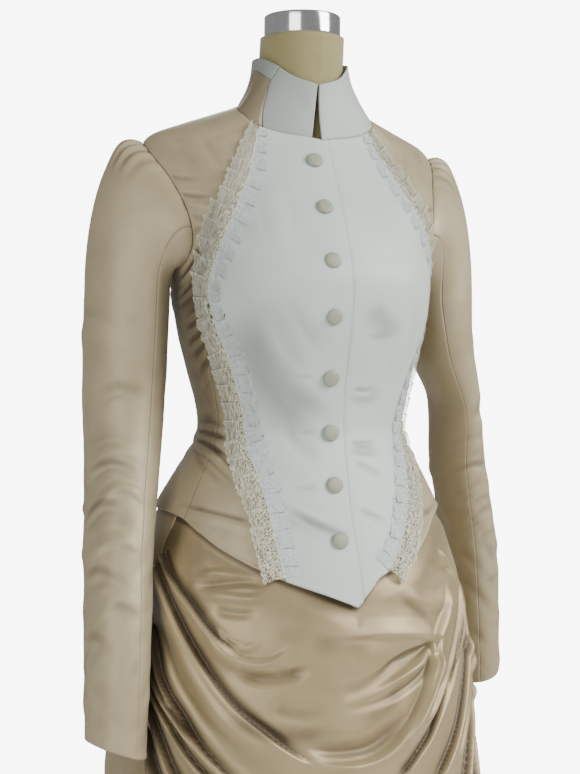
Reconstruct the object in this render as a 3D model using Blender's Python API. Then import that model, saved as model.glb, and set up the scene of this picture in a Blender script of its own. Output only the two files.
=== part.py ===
"""Satin bustle day dress with a white plastron front, on a limbless dress form with a round stand.

Metres, +Z up. The front faces -Y, the garment's right side is at -X and its left side at +X.
The origin is the middle of the stand's underside. A turn is in degrees round the body:
0 at the front, positive towards the left side, 180 at the back.
"""

import math
from collections import namedtuple

import bmesh
import bpy
from mathutils import Vector

# Sizes of the cloth walls and the room between pieces
CLOTH = 0.0014
THIN_CLOTH = 0.0012
SEAM_HALF = 0.0002
NECK_SEAM_HALF = 0.0005
FORM_CLEARANCE = 0.009
BASQUE_LIFT = 0.0028
UNDER_BASQUE_DROP = 0.0025
UNDERSKIRT_DROP = 0.015

# Heights
WAIST = 1.050
BUST = 1.215
SKIRT_TOP = 0.990
WAISTBAND_TOP = 1.040
HEM = 0.025
FORM_BOTTOM = 0.800
FORM_TOP = 1.5040
NECK_MIDDLE = -0.006

# The garment's outer surface: a row for each height, with the reach of the front and the back,
# the place of the widest line and how square the outline is there.
Section = namedtuple("Section", "height half_width front back middle square")
GARMENT = (
    Section(-0.150, 0.398, 0.373, 0.530, 0.000, 2.05),
    Section(0.025, 0.352, 0.328, 0.460, 0.000, 2.05),
    Section(0.200, 0.306, 0.282, 0.385, 0.000, 2.05),
    Section(0.350, 0.268, 0.243, 0.330, 0.000, 2.05),
    Section(0.480, 0.240, 0.212, 0.290, 0.000, 2.05),
    Section(0.600, 0.214, 0.187, 0.265, 0.000, 2.10),
    Section(0.700, 0.204, 0.169, 0.262, 0.000, 2.10),
    Section(0.800, 0.200, 0.156, 0.258, 0.000, 2.10),
    Section(0.840, 0.197, 0.150, 0.250, 0.000, 2.10),
    Section(0.880, 0.190, 0.143, 0.235, 0.000, 2.10),
    Section(0.920, 0.178, 0.133, 0.208, 0.000, 2.10),
    Section(0.960, 0.163, 0.121, 0.168, 0.000, 2.15),
    Section(1.000, 0.142, 0.108, 0.126, 0.000, 2.20),
    Section(1.020, 0.131, 0.102, 0.105, 0.000, 2.20),
    Section(1.050, 0.1235, 0.098, 0.092, 0.000, 2.20),
    Section(1.080, 0.127, 0.102, 0.093, 0.000, 2.25),
    Section(1.120, 0.136, 0.115, 0.099, 0.004, 2.30),
    Section(1.170, 0.146, 0.134, 0.108, 0.008, 2.40),
    Section(1.215, 0.150, 0.141, 0.115, 0.012, 2.45),
    Section(1.250, 0.160, 0.130, 0.118, 0.020, 2.30),
    Section(1.290, 0.178, 0.110, 0.117, 0.026, 2.10),
    Section(1.320, 0.190, 0.092, 0.113, 0.028, 1.85),
    Section(1.350, 0.195, 0.074, 0.107, 0.028, 1.62),
    Section(1.370, 0.190, 0.063, 0.101, 0.028, 1.50),
    Section(1.386, 0.176, 0.0565, 0.094, 0.025, 1.45),
    Section(1.400, 0.141, 0.053, 0.088, 0.021, 1.55),
    Section(1.412, 0.107, 0.050, 0.083, 0.018, 1.70),
    Section(1.425, 0.0720, 0.048, 0.078, 0.014, 2.00),
    Section(1.440, 0.0620, 0.047, 0.074, 0.012, 2.00),
)

# The bare form below the waist and up the neck. Between them it follows the garment from inside.
FORM_HIPS = (
    Section(0.800, 0.148, 0.098, 0.110, 0.000, 2.10),
    Section(0.830, 0.158, 0.106, 0.120, 0.000, 2.10),
    Section(0.880, 0.160, 0.110, 0.126, 0.000, 2.10),
    Section(0.930, 0.150, 0.108, 0.122, 0.000, 2.10),
    Section(0.970, 0.136, 0.100, 0.112, 0.000, 2.15),
)
FORM_NECK = (
    Section(1.432, 0.0560, 0.0440, 0.0640, 0.010, 2.0),
    Section(1.450, 0.0515, 0.0470, 0.0560, 0.005, 2.0),
    Section(1.475, 0.0500, 0.0520, 0.0480, -0.002, 2.0),
    Section(1.5040, 0.0495, 0.0555, 0.0435, -0.006, 2.0),
)

# Edge between the white plastron and the satin fronts: distance from the middle, each side
EdgeRow = namedtuple("EdgeRow", "height right left")
PLASTRON_EDGE = (
    EdgeRow(0.840, 0.072, 0.020),
    EdgeRow(0.880, 0.078, 0.036),
    EdgeRow(0.918, 0.083, 0.064),
    EdgeRow(0.967, 0.088, 0.084),
    EdgeRow(1.025, 0.096, 0.094),
    EdgeRow(1.070, 0.101, 0.101),
    EdgeRow(1.120, 0.116, 0.116),
    EdgeRow(1.172, 0.135, 0.135),
    EdgeRow(1.215, 0.1395, 0.1395),
    EdgeRow(1.260, 0.130, 0.131),
    EdgeRow(1.300, 0.112, 0.113),
    EdgeRow(1.340, 0.090, 0.091),
    EdgeRow(1.375, 0.076, 0.077),
    EdgeRow(1.400, 0.068, 0.069),
    EdgeRow(1.424, 0.060, 0.061),
)

# Placket: where the overlapping edge and the line of buttons run, from the middle
PlacketRow = namedtuple("PlacketRow", "height edge buttons")
PLACKET = (
    PlacketRow(0.840, 0.008, -0.014),
    PlacketRow(0.950, 0.004, -0.014),
    PlacketRow(1.050, 0.008, -0.009),
    PlacketRow(1.130, 0.003, -0.017),
    PlacketRow(1.215, -0.001, -0.024),
    PlacketRow(1.290, 0.002, -0.020),
    PlacketRow(1.380, 0.007, -0.014),
)
PLACKET_UNDERLAP = 0.014
PLACKET_LIFT = 0.0019
# Covered buttons down the placket: height and how far each stands off the curved front
ButtonRow = namedtuple("ButtonRow", "height stand_off")
PLACKET_BUTTONS = (
    ButtonRow(1.352, 0.0004),
    ButtonRow(1.296, 0.0004),
    ButtonRow(1.235, -0.0004),
    ButtonRow(1.174, -0.0007),
    ButtonRow(1.106, 0.0004),
    ButtonRow(1.044, 0.0004),
    ButtonRow(0.985, 0.0004),
    ButtonRow(0.925, 0.0004),
)
BUTTON_RADIUS = 0.0095
BUTTON_DEPTH = 0.0045
CUFF_BUTTON_RADIUS = 0.0058
CUFF_BUTTON_DEPTH = 0.0065
CUFF_BUTTON_SHARES = (0.875, 0.81)
CUFF_BUTTON_STAND_OFF = 0.0004

# Lower edge of the basque and the seam of the neck, by turn from the middle
TurnRow = namedtuple("TurnRow", "turn height")
BASQUE_HEM = (
    TurnRow(0, 0.853),
    TurnRow(6, 0.862),
    TurnRow(12, 0.870),
    TurnRow(27, 0.888),
    TurnRow(49, 0.917),
    TurnRow(61, 0.934),
    TurnRow(75, 0.949),
    TurnRow(100, 0.954),
    TurnRow(140, 0.948),
    TurnRow(180, 0.938),
)
BASQUE_LEFT_HEM = (
    TurnRow(0, 0.853),
    TurnRow(5, 0.871),
    TurnRow(9, 0.884),
    TurnRow(25, 0.901),
    TurnRow(35, 0.920),
    TurnRow(47, 0.942),
    TurnRow(62, 0.952),
    TurnRow(80, 0.955),
    TurnRow(100, 0.954),
    TurnRow(140, 0.948),
    TurnRow(180, 0.938),
)
NECK_SEAM = (
    TurnRow(0, 1.378),
    TurnRow(25, 1.388),
    TurnRow(50, 1.409),
    TurnRow(90, 1.425),
    TurnRow(180, 1.430),
)
COLLAR_TOP = (
    TurnRow(0, 1.444),
    TurnRow(30, 1.453),
    TurnRow(60, 1.470),
    TurnRow(90, 1.478),
    TurnRow(180, 1.480),
)
COLLAR_TOP_HALF_WIDTH = 0.0565
COLLAR_TOP_FRONT = 0.0510
COLLAR_TOP_BACK = 0.0650
COLLAR_WALL = 0.0014
COLLAR_BAND_SHARE = 0.72
COLLAR_GAP_TURN = 0.25
COLLAR_SATIN_TURN = 62
SLIT_TOP_HALF = 0.0012
SLIT_FOOT_HALF = 0.0050
SLIT_FOOT_SHIFT = -0.004

# Seams of the bodice, and its armholes as ovals on the surface
SIDE_SEAM_TURN = 72
BACK_SEAM_TURN = 112
SHOULDER_TURN = 92
ARMHOLE_MIDDLE = 1.303
ARMHOLE_HALF_HEIGHT = 0.073
ARMHOLE_HALF_TURN = 31
UNDERARM_SHARE = (SHOULDER_TURN - SIDE_SEAM_TURN) / ARMHOLE_HALF_TURN
UNDERARM_CORNER = ARMHOLE_MIDDLE - ARMHOLE_HALF_HEIGHT * (1 - UNDERARM_SHARE ** 2) ** 0.5

# Sleeves: middle of each ring, outwards and backwards, with its half sizes
SleeveRing = namedtuple("SleeveRing", "height out back half_width half_depth")
RIGHT_SLEEVE = (
    SleeveRing(1.205, 0.2030, 0.0340, 0.0485, 0.0550),
    SleeveRing(1.150, 0.2050, 0.0350, 0.0485, 0.0540),
    SleeveRing(1.080, 0.2080, 0.0330, 0.0465, 0.0520),
    SleeveRing(1.000, 0.2163, 0.0145, 0.0420, 0.0485),
    SleeveRing(0.900, 0.2340, -0.0245, 0.0385, 0.0435),
    SleeveRing(0.800, 0.2440, -0.0520, 0.0360, 0.0395),
    SleeveRing(0.694, 0.2495, -0.0600, 0.0335, 0.0365),
)
LEFT_SLEEVE = (
    SleeveRing(1.205, 0.2005, 0.0360, 0.0460, 0.0550),
    SleeveRing(1.150, 0.2125, 0.0440, 0.0385, 0.0560),
    SleeveRing(1.080, 0.2430, 0.0600, 0.0270, 0.0530),
    SleeveRing(1.000, 0.2590, 0.0780, 0.0310, 0.0490),
    SleeveRing(0.900, 0.2900, 0.1030, 0.0335, 0.0450),
    SleeveRing(0.800, 0.3130, 0.1290, 0.0330, 0.0405),
    SleeveRing(0.706, 0.3290, 0.1500, 0.0320, 0.0370),
)
SLEEVES = {-1: tuple(reversed(RIGHT_SLEEVE)), 1: tuple(reversed(LEFT_SLEEVE))}
FRONT_SEAM_ANGLE = 112
BACK_SEAM_ANGLE_TOP = -72
BACK_SEAM_ANGLE_CUFF = -33
SLEEVE_GAP_ANGLE = 0.3
SLEEVE_HEAD_ROWS = 6
CAP_GATHERS = 9
CAP_GATHER_DEPTH = 0.0016

# Creases across the sleeves: how far down (0 head ring, 1 cuff), the angle they are deepest at,
# how long they run round the arm, how tall they are and how deep
SleeveCrease = namedtuple("SleeveCrease", "down angle reach tall depth slant")
SLEEVE_CREASES = (
    SleeveCrease(0.10, 20, 70, 0.030, 0.0030, 0.05),
    SleeveCrease(0.30, 60, 60, 0.032, -0.0025, -0.06),
    SleeveCrease(0.44, 100, 75, 0.026, 0.0036, 0.05),
    SleeveCrease(0.52, 60, 80, 0.024, -0.0034, -0.05),
    SleeveCrease(0.60, 110, 70, 0.022, 0.0036, 0.06),
    SleeveCrease(0.67, 30, 75, 0.024, -0.0030, 0.04),
    SleeveCrease(0.76, 90, 70, 0.022, 0.0028, -0.05),
    SleeveCrease(0.46, 250, 70, 0.028, 0.0032, 0.05),
    SleeveCrease(0.62, 230, 70, 0.026, -0.0030, -0.04),
)

# Swagged folds of the apron: height at the sides, how far each sinks to the front,
# how full it is and how tall the roll is
SwagFold = namedtuple("SwagFold", "side_height sink full tall")
SWAG_FOLDS = (
    SwagFold(0.900, 0.075, 0.0060, 0.020),
    SwagFold(0.880, 0.135, 0.0085, 0.024),
    SwagFold(0.862, 0.205, 0.0110, 0.028),
    SwagFold(0.838, 0.265, 0.0115, 0.030),
    SwagFold(0.800, 0.310, 0.0105, 0.030),
    SwagFold(0.745, 0.335, 0.0095, 0.028),
    SwagFold(0.690, 0.330, 0.0080, 0.024),
)
APRON_TURN = 82
APRON_SIDE_HEM = 0.640
APRON_FRONT_HEM = 0.395

# Gathers down the back drapery: turn, height of the crest, how wide and how full
BackFold = namedtuple("BackFold", "turn wide full")
BACK_FOLDS = (
    BackFold(94, 10, 0.0050),
    BackFold(115, 12, 0.0070),
    BackFold(137, 11, 0.0110),
    BackFold(159, 12, 0.0140),
    BackFold(181, 11, 0.0130),
    BackFold(203, 12, 0.0140),
    BackFold(225, 12, 0.0110),
    BackFold(246, 11, 0.0070),
    BackFold(266, 10, 0.0050),
)
BACK_PUFF_HEIGHTS = (0.86, 0.66)
BACK_PUFF_FULL = 0.014
BACK_DRAPERY_HEM = 0.330
UNDERSKIRT_SEAMS = (-48, 48, 112, 248)
UNDERSKIRT_FLUTES = 12
UNDERSKIRT_FLUTE_DEPTH = 0.012

# Gathered lace on each side of the plastron
LACE_WAVES = 26
LACE_STEPS_PER_WAVE = 3
LACE_OUTER_WIDTH = 0.024
LACE_INNER_WIDTH = 0.019
LACE_WALL = 0.0010
LACE_BASE_LIFT = 0.0030
LACE_CHEST_DROP = 0.0010
LACE_NECK_TAPER = 0.55
LACE_NECK_CLEARANCE = 0.004
LACE_WAVE_LIFT = 0.0042

# Stand
CAP_RADIUS = 0.0450
CAP_HEIGHT = 0.0265
POLE_RADIUS = 0.0125
BASE_RADIUS = 0.170
BASE_THICKNESS = 0.010
PART_GAP = 0.0003

# Colours: name, colour, roughness, metallic
Finish = namedtuple("Finish", "name colour roughness metallic")
SATIN = Finish("champagne_satin", (0.44, 0.36, 0.25, 1), 0.36, 0.0)
WHITE_SATIN = Finish("white_satin", (0.70, 0.76, 0.74, 1), 0.48, 0.0)
LACE = Finish("white_lace", (0.72, 0.70, 0.62, 1), 0.75, 0.0)
BUTTON_SATIN = Finish("button_satin", (0.42, 0.38, 0.29, 1), 0.42, 0.0)
JERSEY = Finish("form_jersey", (0.36, 0.31, 0.17, 1), 0.85, 0.0)
CHROME = Finish("chrome", (0.62, 0.61, 0.60, 1), 0.12, 1.0)
POLE_METAL = Finish("brushed_steel", (0.50, 0.50, 0.51, 1), 0.30, 1.0)
BASE_PAINT = Finish("base_paint", (0.05, 0.05, 0.055, 1), 0.40, 0.0)


def clear_scene():
    """Remove every object, so that the part starts from nothing."""
    for thing in list(bpy.data.objects):
        bpy.data.objects.remove(thing, do_unlink=True)


def make_material(node_name, finish):
    """A Principled material of the piece's own."""
    material = bpy.data.materials.new(node_name + "_" + finish.name)
    material.use_nodes = True
    shader = material.node_tree.nodes["Principled BSDF"]
    shader.inputs["Base Color"].default_value = finish.colour
    shader.inputs["Roughness"].default_value = finish.roughness
    shader.inputs["Metallic"].default_value = finish.metallic
    material.diffuse_color = finish.colour
    return material


def smooth_step(value):
    """0 below 0, 1 above 1, and an even curve between."""
    value = min(1.0, max(0.0, value))
    return value * value * (3.0 - 2.0 * value)


def bell(distance, width):
    """A smooth bump that is 1 in its middle and 0 beyond its width."""
    if abs(distance) >= width:
        return 0.0
    return 0.5 + 0.5 * math.cos(math.pi * distance / width)


def read_table(table, place, column):
    """Smooth value of one column at a place between the rows, which rise by their first column."""
    last = len(table) - 1
    if place <= table[0][0]:
        return getattr(table[0], column)
    if place >= table[last][0]:
        return getattr(table[last], column)
    row = 0
    while table[row + 1][0] < place:
        row += 1
    before, start, end, after = max(row - 1, 0), row, row + 1, min(row + 2, last)
    values = [getattr(table[index], column) for index in (before, start, end, after)]
    places = [table[index][0] for index in (before, start, end, after)]
    span = places[2] - places[1]
    part = (place - places[1]) / span
    slope_in = (values[2] - values[0]) / (places[2] - places[0])
    slope_out = (values[3] - values[1]) / (places[3] - places[1])
    square = part * part
    cube = square * part
    return (
        (2 * cube - 3 * square + 1) * values[1]
        + (cube - 2 * square + part) * span * slope_in
        + (3 * square - 2 * cube) * values[2]
        + (cube - square) * span * slope_out
    )


def signed_power(value, power):
    """Keep the sign and raise the size to a power."""
    return math.copysign(abs(value) ** power, value)


def table_point(table, height, turn):
    """Point of a section table at a height and turn."""
    radians = math.radians(turn)
    power = 2.0 / read_table(table, height, "square")
    middle = read_table(table, height, "middle")
    across = signed_power(math.sin(radians), power) * read_table(table, height, "half_width")
    along = signed_power(math.cos(radians), power)
    if along >= 0:
        depth = middle - along * (read_table(table, height, "front") + middle)
    else:
        depth = middle - along * (read_table(table, height, "back") - middle)
    return Vector((across, depth, height))


def surface_rates(height, turn):
    """How the garment's surface runs per metre of height and per degree of turn."""
    step = 0.002
    by_height = table_point(GARMENT, height + step, turn) - table_point(GARMENT, height - step, turn)
    by_turn = table_point(GARMENT, height, turn + 1.0) - table_point(GARMENT, height, turn - 1.0)
    return by_height / (2 * step), by_turn / 2.0


def surface_point(height, turn, lift=0.0):
    """Point of the garment's outer surface, moved out by lift."""
    point = table_point(GARMENT, height, turn)
    if lift == 0.0:
        return point
    by_height, by_turn = surface_rates(height, turn)
    return point + by_turn.cross(by_height).normalized() * lift


def turn_at(height, across):
    """Turn at which the front of the garment is this far from the middle."""
    share = min(0.9999, abs(across) / read_table(GARMENT, height, "half_width"))
    power = read_table(GARMENT, height, "square") / 2.0
    return math.copysign(math.degrees(math.asin(share ** power)), across)


def seam_turn(height, turn, side):
    """A seam's turn, moved by half a seam's gap to one side (-1 or 1)."""
    by_turn = surface_rates(height, turn)[1]
    return turn + side * SEAM_HALF / max(0.0004, by_turn.length)


def height_by_turn(table, turn):
    """Height from a table of turns, the same on both sides."""
    away = abs((turn + 180.0) % 360.0 - 180.0)
    return read_table(table, away, "height")


def bodice_lift(height):
    """The basque lies over the skirt, so the bodice rises below the waist."""
    return BASQUE_LIFT * smooth_step((WAIST - 0.005 - height) / 0.038)


def armhole_reach(height):
    """Half the armhole's turn at a height, or 0 outside it."""
    share = (height - ARMHOLE_MIDDLE) / ARMHOLE_HALF_HEIGHT
    if abs(share) >= 1:
        return 0.0
    return ARMHOLE_HALF_TURN * (1 - share * share) ** 0.5


def add_object(name, points, faces, finish, smooth=True):
    """Make a named object from points and faces, with its own material."""
    mesh = bpy.data.meshes.new(name)
    mesh.from_pydata([tuple(point) for point in points], [], faces)
    mesh.validate()
    builder = bmesh.new()
    builder.from_mesh(mesh)
    bmesh.ops.triangulate(builder, faces=builder.faces[:])
    bmesh.ops.recalc_face_normals(builder, faces=builder.faces[:])
    builder.to_mesh(mesh)
    builder.free()
    for polygon in mesh.polygons:
        polygon.use_smooth = smooth
    thing = bpy.data.objects.new(name, mesh)
    bpy.context.scene.collection.objects.link(thing)
    mesh.materials.append(make_material(name, finish))
    return thing


def outward_normal(place, row, column, row_step, column_step):
    """Direction square to a surface, from its own slopes along its rows and its columns."""
    along_column = place(row + row_step, column) - place(row - row_step, column)
    along_row = place(row, column + column_step) - place(row, column - column_step)
    return along_row.cross(along_column).normalized()


def cloth_wall(name, place, lines, thickness, finish, steps=(0.001, 0.25), flip=1.0):
    """Cloth of even thickness.

    place gives a point from a row value and a column value. lines holds those pairs, row by row.
    The inner side lies one wall inwards, and the rims are closed.
    """
    rows, columns = len(lines), len(lines[0])
    outer = []
    inner = []
    for line in lines:
        for row_value, column_value in line:
            point = place(row_value, column_value)
            normal = outward_normal(place, row_value, column_value, steps[0], steps[1]) * flip
            outer.append(point)
            inner.append(point - normal * thickness)
    back = len(outer)

    def index(row, column):
        return row * columns + column

    faces = []
    for row in range(rows - 1):
        for column in range(columns - 1):
            corners = (
                index(row, column),
                index(row, column + 1),
                index(row + 1, column + 1),
                index(row + 1, column),
            )
            for triangle in (corners[:3], (corners[0], corners[2], corners[3])):
                faces.append(triangle)
                faces.append(tuple(back + corner for corner in reversed(triangle)))
    top = rows - 1
    last = columns - 1
    rim = [(index(0, column + 1), index(0, column)) for column in range(last)]
    rim += [(index(top, column), index(top, column + 1)) for column in range(last)]
    rim += [(index(row, 0), index(row + 1, 0)) for row in range(top)]
    rim += [(index(row + 1, last), index(row, last)) for row in range(top)]
    for start, end in rim:
        faces.append((start, end, back + end, back + start))
    return add_object(name, outer + inner, faces, finish)


def lathe(name, profile, middle_y, segments, finish):
    """A turned solid from (radius, height) pairs, closed by a flat disc at each end."""
    points = []
    for radius, height in profile:
        for step in range(segments):
            angle = 2 * math.pi * step / segments
            points.append(Vector((radius * math.cos(angle), middle_y + radius * math.sin(angle), height)))
    faces = []
    for ring in range(len(profile) - 1):
        for step in range(segments):
            following = (step + 1) % segments
            start = ring * segments
            faces.append((start + step, start + following, start + segments + following, start + segments + step))
    faces.append(tuple(reversed(range(segments))))
    top = (len(profile) - 1) * segments
    faces.append(tuple(range(top, top + segments)))
    return add_object(name, points, faces, finish)


def spread(start, end, count):
    """Evenly spaced values, both ends included."""
    return [start + (end - start) * step / (count - 1) for step in range(count)]


def panel_lines(heights, left_edge, right_edge, columns, foot=None, head=None, head_fade=0.085):
    """Rows of (height, turn) pairs of a panel between two seams.

    left_edge and right_edge give the turn of each seam at a height. foot and head give the height
    of the lower and upper edge at a turn, and the nearest rows follow them.
    """
    low, high = heights[0], heights[-1]
    lines = []
    for nominal in heights:
        line = []
        for share in spread(0.0, 1.0, columns):
            height = nominal
            for _ in range(6):
                turn = left_edge(height) * (1 - share) + right_edge(height) * share
                height = nominal
                if foot:
                    height += (foot(turn) - low) * smooth_step(1 - (nominal - low) / (WAIST - low))
                if head:
                    height += (head(turn) - high) * smooth_step(1 - (high - nominal) / head_fade)
            line.append((height, turn))
        lines.append(line)
    return lines


def panel(name, lines, lift, thickness, finish):
    """A cloth panel on the garment's surface, standing off it by lift(height, turn)."""
    return cloth_wall(
        name, lambda height, turn: surface_point(height, turn, lift(height, turn)), lines, thickness, finish
    )


BODICE_HEIGHTS = (
    0.857, 0.900, 0.940, 0.975, 1.005, 1.030, 1.046, 1.065, 1.100, 1.145, 1.190, 1.215, UNDERARM_CORNER,
    1.275, 1.303, 1.330, 1.352, 1.367, 1.376, 1.388, 1.400, 1.412, 1.424,
)
PLASTRON_HEIGHTS = (
    0.857, 0.900, 0.940, 0.975, 1.005, 1.030, 1.046, 1.065, 1.100, 1.145, 1.190, 1.215, UNDERARM_CORNER,
    1.275, 1.303, 1.330, 1.352, 1.376, 1.400, 1.424,
)


def basque_foot(turn):
    """Lower edge of the basque, cut away higher on the left front than on the right."""
    signed = (turn + 180.0) % 360.0 - 180.0
    return height_by_turn(BASQUE_LEFT_HEM if signed > 0 else BASQUE_HEM, turn)


def neck_head(turn):
    return height_by_turn(NECK_SEAM, turn) - NECK_SEAM_HALF


def plain_bodice_lift(height, turn):
    return bodice_lift(height)


def front_edge_right(height):
    return turn_at(height, -read_table(PLASTRON_EDGE, height, "right"))


def front_edge_left(height):
    return turn_at(height, read_table(PLASTRON_EDGE, height, "left"))


def front_outer_turn(height):
    """Where the satin front ends: side seam, then armhole, then shoulder seam."""
    if height <= UNDERARM_CORNER + 0.0001:
        return SIDE_SEAM_TURN
    return SHOULDER_TURN - armhole_reach(height)


def back_outer_turn(height):
    """Where the satin back starts: side seam, then armhole, then shoulder seam."""
    if height <= UNDERARM_CORNER + 0.0001:
        return BACK_SEAM_TURN
    return SHOULDER_TURN + armhole_reach(height)


def underarm_head(turn):
    """Top edge of the side piece: the lower part of the armhole."""
    away = min(UNDERARM_SHARE, abs(abs(turn) - SHOULDER_TURN) / ARMHOLE_HALF_TURN)
    return ARMHOLE_MIDDLE - ARMHOLE_HALF_HEIGHT * (1 - away * away) ** 0.5


def build_bodice():
    """Satin fronts, side pieces and backs, each with its mirror piece."""
    side_heights = [height for height in BODICE_HEIGHTS if height <= UNDERARM_CORNER]
    edges = {-1: front_edge_right, 1: front_edge_left}
    for side, word in ((-1, "right"), (1, "left")):
        front_edge = edges[side]
        pieces = (
            ("front", BODICE_HEIGHTS, 7, neck_head, 0.085,
             lambda height: seam_turn(height, front_edge(height), side),
             lambda height: side * seam_turn(height, front_outer_turn(height), -1)),
            ("side", side_heights, 4, underarm_head, 0.03,
             lambda height: side * seam_turn(height, SIDE_SEAM_TURN, 1),
             lambda height: side * seam_turn(height, BACK_SEAM_TURN, -1)),
            ("back", BODICE_HEIGHTS, 5, neck_head, 0.085,
             lambda height: side * seam_turn(height, back_outer_turn(height), 1),
             lambda height: side * seam_turn(height, 180, -1)),
        )
        for piece, heights, columns, head, fade, near, far in pieces:
            start, end = (near, far) if side > 0 else (far, near)
            lines = panel_lines(heights, start, end, columns, basque_foot, head, fade)
            panel("bodice_" + piece + "_" + word, lines, plain_bodice_lift, CLOTH, SATIN)


def placket_turn(height, column, extra=0.0):
    """Turn of the placket's edge or its line of buttons at a height."""
    return turn_at(height, read_table(PLACKET, height, column) + extra)


def placket_lift(height, turn):
    """The right front rises over the left front's edge."""
    start = front_edge_right(height)
    share = (turn - start) / (placket_turn(height, "edge") - start)
    return bodice_lift(height) + PLACKET_LIFT * smooth_step(share / 0.62)


def build_plastron():
    """White plastron: the right front laps over the left one."""
    right = panel_lines(
        PLASTRON_HEIGHTS,
        lambda height: seam_turn(height, front_edge_right(height), 1),
        lambda height: placket_turn(height, "edge"),
        9, basque_foot, neck_head,
    )
    panel("plastron_right", right, placket_lift, THIN_CLOTH, WHITE_SATIN)
    left = panel_lines(
        PLASTRON_HEIGHTS,
        lambda height: placket_turn(height, "edge", -PLACKET_UNDERLAP),
        lambda height: seam_turn(height, front_edge_left(height), -1),
        6, basque_foot, neck_head,
    )
    panel("plastron_left", left, plain_bodice_lift, THIN_CLOTH, WHITE_SATIN)


def collar_point(share, turn):
    """Point of the stand collar: share 0 on the neck seam, 1 on its top edge."""
    foot = surface_point(height_by_turn(NECK_SEAM, turn) + NECK_SEAM_HALF, turn)
    radians = math.radians(turn)
    reach = COLLAR_TOP_FRONT if math.cos(radians) >= 0 else COLLAR_TOP_BACK
    middle = NECK_MIDDLE * 0.8
    depth = reach + middle if math.cos(radians) >= 0 else reach - middle
    head = Vector((
        COLLAR_TOP_HALF_WIDTH * math.sin(radians),
        middle - depth * math.cos(radians),
        height_by_turn(COLLAR_TOP, turn),
    ))
    bend = 0.0035 * math.sin(math.pi * share)
    point = foot.lerp(head, share)
    outward = Vector((point.x, point.y - middle, 0.0)).normalized()
    return point - outward * bend


def collar_piece(name, start_turn, end_turn, columns, shares, finish):
    """One collar piece. Its side edges may depend on the share up the collar."""
    lines = []
    for share in shares:
        lines.append([(share, turn) for turn in spread(start_turn(share), end_turn(share), columns)])
    cloth_wall(name, collar_point, lines, COLLAR_WALL, finish, (0.01, 0.5))


def slit_turn(side):
    """Edge of the narrow slit at the throat: wider at its foot."""
    def edge(share):
        half = SLIT_FOOT_HALF + (SLIT_TOP_HALF - SLIT_FOOT_HALF) * share
        across = SLIT_FOOT_SHIFT * (1 - share) + side * half
        radius = 0.066 + (0.058 - 0.066) * share
        return math.degrees(across / radius)
    return edge


def build_collar():
    """Stand collar: white fronts and band, satin round the sides and back."""
    satin = COLLAR_SATIN_TURN
    gap = COLLAR_GAP_TURN
    whole = spread(0.0, 1.0, 4)
    below = spread(0.0, COLLAR_BAND_SHARE, 3)
    above = spread(COLLAR_BAND_SHARE + 0.007, 1.0, 2)

    def satin_start(share):
        return satin + gap

    def satin_end(share):
        return 360 - satin - gap

    collar_piece("collar_front_right", lambda share: -satin + gap, slit_turn(-1), 7, whole, WHITE_SATIN)
    collar_piece("collar_front_left", slit_turn(1), lambda share: satin - gap, 7, whole, WHITE_SATIN)
    collar_piece("collar_back", satin_start, satin_end, 15, below, SATIN)
    collar_piece("collar_band", satin_start, satin_end, 15, above, WHITE_SATIN)


def lace_path(side):
    """Places along a gathering line, from the basque's hem up to the collar."""
    edge = front_edge_right if side < 0 else front_edge_left
    steps = LACE_WAVES * LACE_STEPS_PER_WAVE
    low = basque_foot(edge(0.89)) + 0.003
    top = neck_head(edge(1.40))
    for _ in range(8):
        top = 0.5 * top + 0.5 * (neck_head(edge(top)) - LACE_NECK_CLEARANCE)
    return [(height, edge(height)) for height in spread(low, top, steps + 1)]


def lace_place(path):
    """Point of the gathered lace: how far along its path, and how far across it."""
    last = len(path) - 1

    def at(number):
        number = min(last, max(0, number))
        low = min(last - 1, int(number))
        part = number - low
        return [path[low][axis] * (1 - part) + path[low + 1][axis] * part for axis in (0, 1)]

    def place(number, reach):
        reach *= 1 - LACE_NECK_TAPER * smooth_step((number / last - 0.90) / 0.08)
        height, turn = at(number)
        before = at(number - 2)
        after = at(number + 2)
        by_height, by_turn = surface_rates(height, turn)
        run_turn = (after[1] - before[1]) * by_turn.length
        run_height = (after[0] - before[0]) * by_height.length
        run = math.hypot(run_turn, run_height)
        phase = 2 * math.pi * number / LACE_STEPS_PER_WAVE
        wander = 0.8 + 0.3 * math.sin(number * 0.37) + 0.2 * math.sin(number * 0.91 + 1.0)
        wave = 0.5 + 0.5 * math.sin(phase if reach > 0 else phase + 1.9)
        fullness = min(1.0, abs(reach) / LACE_INNER_WIDTH)
        height += -run_turn / run / by_height.length * reach
        turn += run_height / run / by_turn.length * reach
        base = LACE_BASE_LIFT - LACE_CHEST_DROP * smooth_step((height - 1.10) / 0.05)
        stand_off = base + LACE_WAVE_LIFT * wander * wave * fullness
        return surface_point(height, turn, bodice_lift(height) + stand_off)

    return place


def build_lace():
    """Gathered lace over each plastron seam: a ruffle to both sides of its gathering line."""
    for side, name in ((-1, "lace_right"), (1, "lace_left")):
        path = lace_path(side)
        widths = (-LACE_OUTER_WIDTH, 0.0, LACE_INNER_WIDTH)
        if side > 0:
            widths = (-LACE_INNER_WIDTH, 0.0, LACE_OUTER_WIDTH)
        lines = [[(number, width) for width in widths] for number in range(len(path))]
        cloth_wall(name, lace_place(path), lines, LACE_WALL, LACE, (0.5, 0.002))


def swag_fold_height(fold, turn):
    """Height of a swag fold's crest at a turn: a deep U from side to side."""
    share = min(1.0, abs(turn) / APRON_TURN)
    return fold.side_height - fold.sink * (1 - share ** 1.9)


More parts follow.
